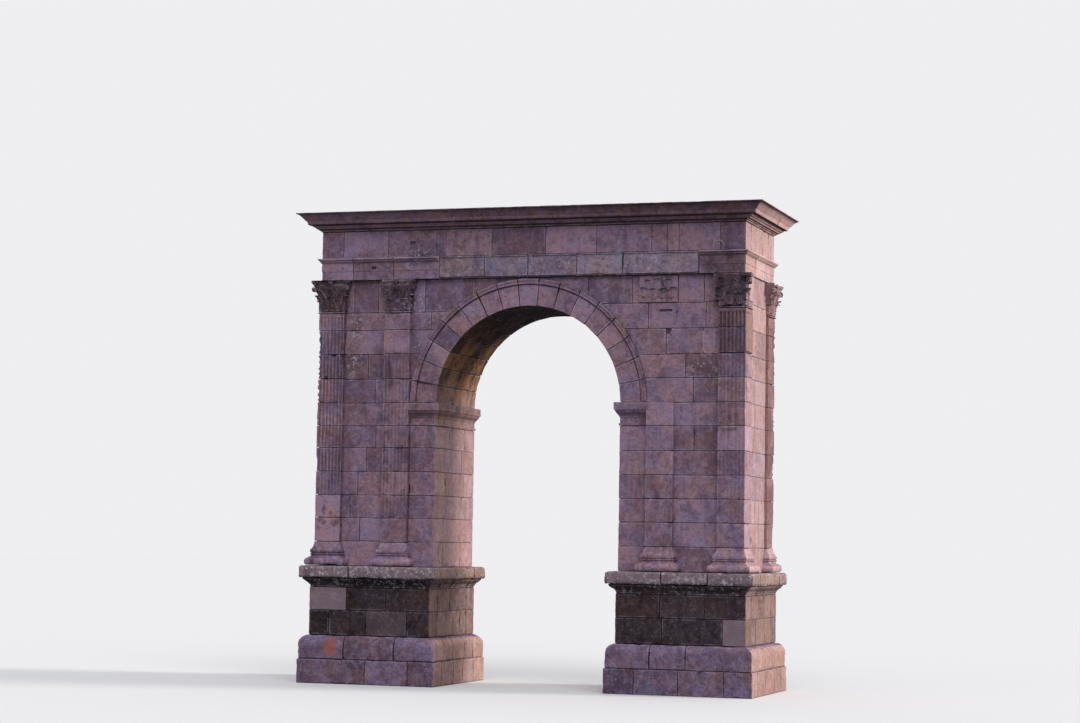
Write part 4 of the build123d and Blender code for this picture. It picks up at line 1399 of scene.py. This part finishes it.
def ring_course(stones, low, high, front, back, ends, moulding=None, cap="", depth=0.6, special=None,
                bed=0.0, **style):
    """A course that shows on all four sides, and with the cap T above. The lists give the joints of the
    front, the back and the two ends. Special styles go with some of the front's stones, and the bed joint
    under the course stands out from the plan by bed."""
    (x0, y0, z0), (x1, y1, z1) = low, high
    for y_low, y_high, joints, face in ((y0, y0 + depth, front, "F"), (y1 - depth, y1, back, "B")):
        row = spans(x0, x1, joints)
        for place, (a, b) in enumerate(row):
            faces = face + cap + ("L" if place == 0 else "") + ("R" if place == len(row) - 1 else "")
            more = (special or {}).get(place, {}) if face == "F" else {}
            block(stones, (a, y_low, z0), (b, y_high, z1), faces, moulding=moulding, holes=HOLES,
                  **{**style, **more})
    for x_low, x_high, joints, face in ((x0, x0 + depth, ends[0], "L"), (x1 - depth, x1, ends[1], "R")):
        for a, b in spans(y0 + depth, y1 - depth, joints):
            block(stones, (x_low, a, z0), (x_high, b, z1), face + cap, moulding=moulding, **style)
    inset = CORE_INSET
    core(stones, (x0 + inset, y0 + inset, z0), (x1 - inset, y1 - inset, z1 - 0.02))
    inset = BED_INSET - bed
    core(stones, (x0 + inset, y0 + inset, max(z0 - BED_HALF, 0.0)), (x1 - inset, y1 - inset, z0 + BED_HALF))


UPPER_SOCLE_STEPS = [(0.0, 0.205), (0.3, 0.213), (0.4, 0.207), (0.47, 0.185), (0.53, 0.14), (0.57, 0.09),
                     (0.6, 0.03)]
CAP_BED_STEPS = [(0.0, 0.0), (0.045, 0.0), (0.05, 0.015)] + curve((0.06, 0.02), (0.22, 0.15), "cyma")
CAP_BED_STEPS += [(0.23, 0.16)]
CAP_SLAB_STEPS = [(0.23, 0.205), (0.27, 0.228), (0.4, 0.23), (0.5, 0.226), (0.55, 0.2)]
# Upright joints of the podium's front by side, from the socle up; the others are random
SOCLE_JOINTS = {-1: (-4.05, -2.90)}
UPPER_SOCLE_JOINTS = {-1: (-4.65, -3.29)}
LOWER_DADO_JOINTS = {-1: (-5.14, -4.13, -3.03), 1: (3.6, 5.12)}
UPPER_DADO_JOINTS = {-1: (-4.68, -3.6)}
CAP_SLAB_JOINTS = {-1: (-4.55, -3.7)}
# New stones in the dado
NEW = {"fresh": 0.72, "tone": -0.5, "crust": -0.3, "rough": 0.005, "chip": 0.015, "lichen": 0}
PATCHED = {"fresh": 0.22, "crust": -0.1}


def slab_light_and_shade(points):
    """Painted light and shade on the edge of the podium's cap: pale above and black below."""
    height = points[:, 2] - CAP_LOW.z
    return 0.5 * ramp(height, 0.32, 0.25) - 0.1


def podium(side, name):
    """The socle courses, the dado and its cap, for one pier."""
    x0, x1 = mirrored(side, DADO_LOW.x, DADO_HIGH.x)
    y = DADO_HIGH.y
    floor_low, floor_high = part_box(f"{name}_lower_socle")
    upper_low, upper_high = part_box(f"{name}_upper_socle")

    def course(stones, low, high, measured, back_length, front_length=1.15, **style):
        """A course all round, with random joints where none were measured."""
        front = measured.get(side) or random_joints(x0, x1, front_length)
        back = random_joints(x0, x1, back_length)
        ends = [random_joints(0.6 - y, y - 0.6, 0.9) for end in "LR"]
        ring_course(stones, low, high, front, back, ends, **style)

    stones = Stones(edge=0.016, rough=0.012, chip=0.04)
    course(stones, floor_low, floor_high, SOCLE_JOINTS, 1.2)
    finish(stones, f"{name}_lower_socle", SOCLE_STONE)

    stones = Stones(edge=0.014, rough=0.012, chip=0.04)
    course(stones, (x0, -y, upper_low.z), (x1, y, upper_high.z), UPPER_SOCLE_JOINTS, 1.3,
           moulding=Moulding(UPPER_SOCLE_STEPS, upper_low.z), bed=UPPER_SOCLE_STEPS[0][1])
    finish(stones, f"{name}_upper_socle", SOCLE_STONE)

    stones = Stones(rough=0.011, chip=0.035, crust=0.12, lichen=0.04)
    middle = (DADO_LOW.z + DADO_HIGH.z) / 2 + 0.03
    course(stones, (x0, -y, DADO_LOW.z), (x1, y, middle), LOWER_DADO_JOINTS, 1.0,
           special={2: PATCHED if side < 0 else NEW})
    course(stones, (x0, -y, middle), (x1, y, DADO_HIGH.z), UPPER_DADO_JOINTS, 1.0,
           special={0: NEW} if side < 0 else {})
    finish(stones, f"{name}_podium_dado", PODIUM_STONE)

    stones = Stones(rough=0.011, chip=0.045, edge=0.012)
    parting = CAP_LOW.z + CAP_SLAB_STEPS[0][0]
    # The bed under the slab is darkened with crust: dark crust and painted shade under the slab
    course(stones, (x0, -y, CAP_LOW.z), (x1, y, parting), {}, 1.3, 1.3,
           moulding=Moulding(CAP_BED_STEPS, CAP_LOW.z), crust=0.3, lichen=0.5)
    course(stones, (x0, -y, parting), (x1, y, CAP_HIGH.z), CAP_SLAB_JOINTS, 1.2,
           moulding=Moulding(CAP_SLAB_STEPS, CAP_LOW.z), cap="T", bed=CAP_BED_STEPS[-1][1], soot=slab_light_and_shade,
           lichen=0.9, tone=0.2, fresh=0.5)
    finish(stones, f"{name}_podium_cap", PODIUM_STONE)


# Entablature

CARVED_STEPS = [
    (0.0, 0.0), (0.228, 0.0), (0.23, 0.008), (0.438, 0.008), (0.442, 0.024), (0.455, 0.027), (0.458, 0.04),
    (0.475, 0.045), (0.48, 0.058), (0.502, 0.066), (0.507, 0.08), (0.527, 0.085), (0.532, 0.095),
    (0.57, 0.096),
]
RESTORED_STEPS = [(0.0, 0.0), (0.528, 0.0), (0.53, 0.024), (0.57, 0.025)]
CORNICE_STEPS = (
    [(0.0, 0.012), (0.012, 0.014), (0.018, 0.03), (0.038, 0.034), (0.042, 0.066), (0.048, 0.07)]
    + [(0.07, 0.072), (0.074, 0.11), (0.08, 0.12)]
    + curve((0.084, 0.124), (0.138, 0.19), "cyma", 5)
    + [(0.142, 0.20), (0.164, 0.202), (0.168, 0.285), (0.178, 0.298), (0.208, 0.30), (0.214, 0.306)]
    + [(0.24, 0.314)]
    + curve((0.248, 0.316), (0.426, 0.515), "flared", 8)
    + [(0.43, 0.531), (0.46, 0.534)]
)
CROWN_LINES = (0.4565, 0.5045)
# Painted light and shade up the cornice: (height above its foot, darker or, below nothing, lighter)
CORNICE_LIGHT_AND_SHADE = (
    (0.0, 0.4), (0.012, 0.4), (0.018, -0.25), (0.04, -0.25), (0.046, 0.6), (0.07, 0.6), (0.078, -0.4),
    (0.138, -0.4), (0.145, 0.7), (0.174, 0.7), (0.18, 0.05), (0.206, 0.05), (0.214, -0.4), (0.242, -0.4),
    (0.248, -0.25), (0.41, -0.05), (0.43, 0.5), (0.46, -0.1),
)
# The architrave's front and back stones meet its end stones at this distance from the middle
ARCHITRAVE_DEPTH = 0.5
ARCHITRAVE_END = 0.8
RESTORED_LIFT = 0.028
CORNICE_DEPTH = 0.9


def crown_groove_shade(points):
    """Painted shade in the fine grooves along the top of the architrave, and paler above them."""
    height = points[:, 2] - ARCHITRAVE_FOOT
    return 0.9 * sum(np.abs(height - line) < 0.004 for line in CROWN_LINES) - 0.5 * ramp(height, 0.43, 0.46)


def cornice_light_and_shade(points):
    """Painted dark shade lines and pale lit lines along the mouldings of the cornice."""
    return np.interp(points[:, 2] - CORNICE_LOW.z, *zip(*CORNICE_LIGHT_AND_SHADE))


def architrave(name, x0, x1, end=""):
    """An old moulded part of the architrave with its end, or the plain new part, which has no end."""
    stones = Stones(rough=0.007 if end else 0.014, gap=0.003 if end else 0.007)
    y, z0, z1 = FRIEZE_FACE, ARCHITRAVE_FOOT, FRIEZE_LOW.z
    style = {"moulding": Moulding(CARVED_STEPS if end else RESTORED_STEPS, z0, 0.2),
             "soot": crown_groove_shade if end else None}
    for y_low, y_high, face in ((-y, -ARCHITRAVE_DEPTH, "F"), (ARCHITRAVE_DEPTH, y, "B")):
        row = spans(x0, x1, ARCHITRAVE_JOINTS if face == "F" else random_joints(x0, x1, 1.3))
        for place, (a, b) in enumerate(row):
            at_end = (place == 0 and end == "L") or (place == len(row) - 1 and end == "R")
            block(stones, (a, y_low, z0 + (0 if end else RESTORED_LIFT)), (b, y_high, z1),
                  face + (end if at_end else "") + "U", holes=HOLES, **style)
    if end:
        a, b = (x0, x0 + ARCHITRAVE_END) if end == "L" else (x1 - ARCHITRAVE_END, x1)
        block(stones, (a, -ARCHITRAVE_DEPTH, z0), (b, ARCHITRAVE_DEPTH, z1), end + "U", **style)
    core(stones, (x0 + CORE_INSET, CORE_INSET - y, z0 + 0.004), (x1 - CORE_INSET, y - CORE_INSET, z1))
    if end:
        finish(stones, name, FRIEZE_STONE)
    else:
        finish(stones, name, RESTORED_STONE)


def frieze():
    stones = Stones(rough=0.006, gap=0.0015)
    ring_course(stones, (-FRIEZE_END, -FRIEZE_FACE, FRIEZE_LOW.z), (FRIEZE_END, FRIEZE_FACE, FRIEZE_HIGH.z),
                FRIEZE_JOINTS, random_joints(-FRIEZE_END, FRIEZE_END, 1.3), ((-0.2,), (0.25,)))
    hoop(stones, *FRIEZE_HOOP, 1, FRIEZE_FACE, tone=0.8, fresh=0.4)
    finish(stones, "frieze", FRIEZE_STONE)


def cornice():
    """The cornice all round, and the stones inside it."""
    stones = Stones(rough=0.007, chip=0.022, pitch=0.095, edge=0.006, gap=0.001)
    low, high = CORNICE_LOW.z, CORNICE_HIGH.z
    ring_course(stones, (-FRIEZE_END, -FRIEZE_FACE, low), (FRIEZE_END, FRIEZE_FACE, high), CORNICE_JOINTS,
                random_joints(-FRIEZE_END, FRIEZE_END, 1.35), ((0.1,), (-0.1,)),
                moulding=Moulding(CORNICE_STEPS, low, 0.85), cap="T", depth=CORNICE_DEPTH, soot=cornice_light_and_shade)
    x, y = FRIEZE_END - CORNICE_DEPTH, FRIEZE_FACE - CORNICE_DEPTH
    for a, b in spans(-x, x, random_joints(-x, x, 1.3)):
        block(stones, (a, -y, high - 0.3), (b, y, high), "T")
    finish(stones, "cornice", CORNICE_STONE)


for side, name in ((-1, "left"), (1, "right")):
    podium(side, name)
    pier_wall(side, name)
    jamb(side, name)
    impost(side, name)
    spandrel(side, name)
    pilasters(side, name)
for index, name in enumerate(RING_NAMES):
    voussoir(index, name)
architrave("architrave_left", -FRIEZE_END, ARCHITRAVE_LOW.x, "L")
architrave("architrave_middle", ARCHITRAVE_LOW.x, ARCHITRAVE_HIGH.x)
architrave("architrave_right", ARCHITRAVE_HIGH.x, FRIEZE_END, "R")
frieze()
cornice()

# Floor, light and camera

FLOOR_HALF = 300
floor_mesh = bpy.data.meshes.new("floor")
corners = [(x * FLOOR_HALF, y * FLOOR_HALF, 0) for x, y in ((-1, -1), (1, -1), (1, 1), (-1, 1))]
floor_mesh.from_pydata(corners, [], [(0, 1, 2, 3)])
floor = bpy.data.objects.new("floor", floor_mesh)
bpy.context.scene.collection.objects.link(floor)
floor_material = bpy.data.materials.new("floor")
graph = Graph(floor_material)
seen = graph.node("LightPath")["Is Camera Ray"]
surface = graph.node("BsdfPrincipled", Base_Color=graph.mix(seen, rgb(112, 112, 112), rgb(228, 229, 228)),
                     Roughness=0.95)
graph.node("OutputMaterial", Surface=surface["BSDF"])
floor_mesh.materials.append(floor_material)

world = bpy.data.worlds.new("world")
bpy.context.scene.world = world
graph = Graph(world)
seen = graph.node("LightPath")["Is Camera Ray"]
sky = graph.node("Background", Color=(0.93, 0.94, 1.0, 1), Strength=0.62)["Background"]
backdrop = graph.node("Background", Color=(0.86, 0.86, 0.88, 1))["Background"]
graph.node("OutputWorld", Surface=graph.node("MixShader", seen, sky, backdrop)["Shader"])


def looking_along(forward, place, roll=0.0):
    """The matrix of a lamp or camera at a place that looks along a direction."""
    forward = np.array(forward) / np.linalg.norm(forward)
    level = np.array([forward[1], -forward[0], 0.0])
    level /= np.linalg.norm(level)
    upright = np.cross(level, forward)
    right = level * math.cos(roll) + upright * math.sin(roll)
    up = upright * math.cos(roll) - level * math.sin(roll)
    return Matrix([*np.stack([right, up, -forward, place], 1).tolist(), [0, 0, 0, 1]])


def sun(name, direction, strength, colour, angle):
    """A far lamp that shines along a direction."""
    data = bpy.data.lights.new(name, "SUN")
    data.energy = strength
    data.color = colour
    data.angle = math.radians(angle)
    lamp = bpy.data.objects.new(name, data)
    lamp.matrix_world = looking_along(direction, (0, 0, 20))
    bpy.context.scene.collection.objects.link(lamp)


sun("key", (-0.90, -0.22, -0.33), 2.3, (1.0, 0.94, 0.90), 14)
sun("high_fill", (-0.30, 0.60, -0.74), 1.25, (0.97, 0.95, 1.0), 45)

# The camera of the photograph: its place and its angles in degrees
CAMERA_PLACE = (19.301, -58.751, 3.685)
YAW, PITCH_UP, ROLL = (math.radians(angle) for angle in (18.319, 4.215, 0.895))
FOCAL_PIXELS, FRAME_WIDTH = 2427.9, 1080
SENSOR_WIDTH = 36.0
camera_data = bpy.data.cameras.new("camera")
camera_data.sensor_width = SENSOR_WIDTH
camera_data.lens = FOCAL_PIXELS / FRAME_WIDTH * SENSOR_WIDTH
camera_data.clip_end = 1000.0
camera = bpy.data.objects.new("camera", camera_data)
look = (-math.sin(YAW) * math.cos(PITCH_UP), math.cos(YAW) * math.cos(PITCH_UP), math.sin(PITCH_UP))
camera.matrix_world = looking_along(look, CAMERA_PLACE, ROLL)
bpy.context.scene.collection.objects.link(camera)
bpy.context.scene.camera = camera
bpy.context.scene.view_settings.view_transform = "Standard"
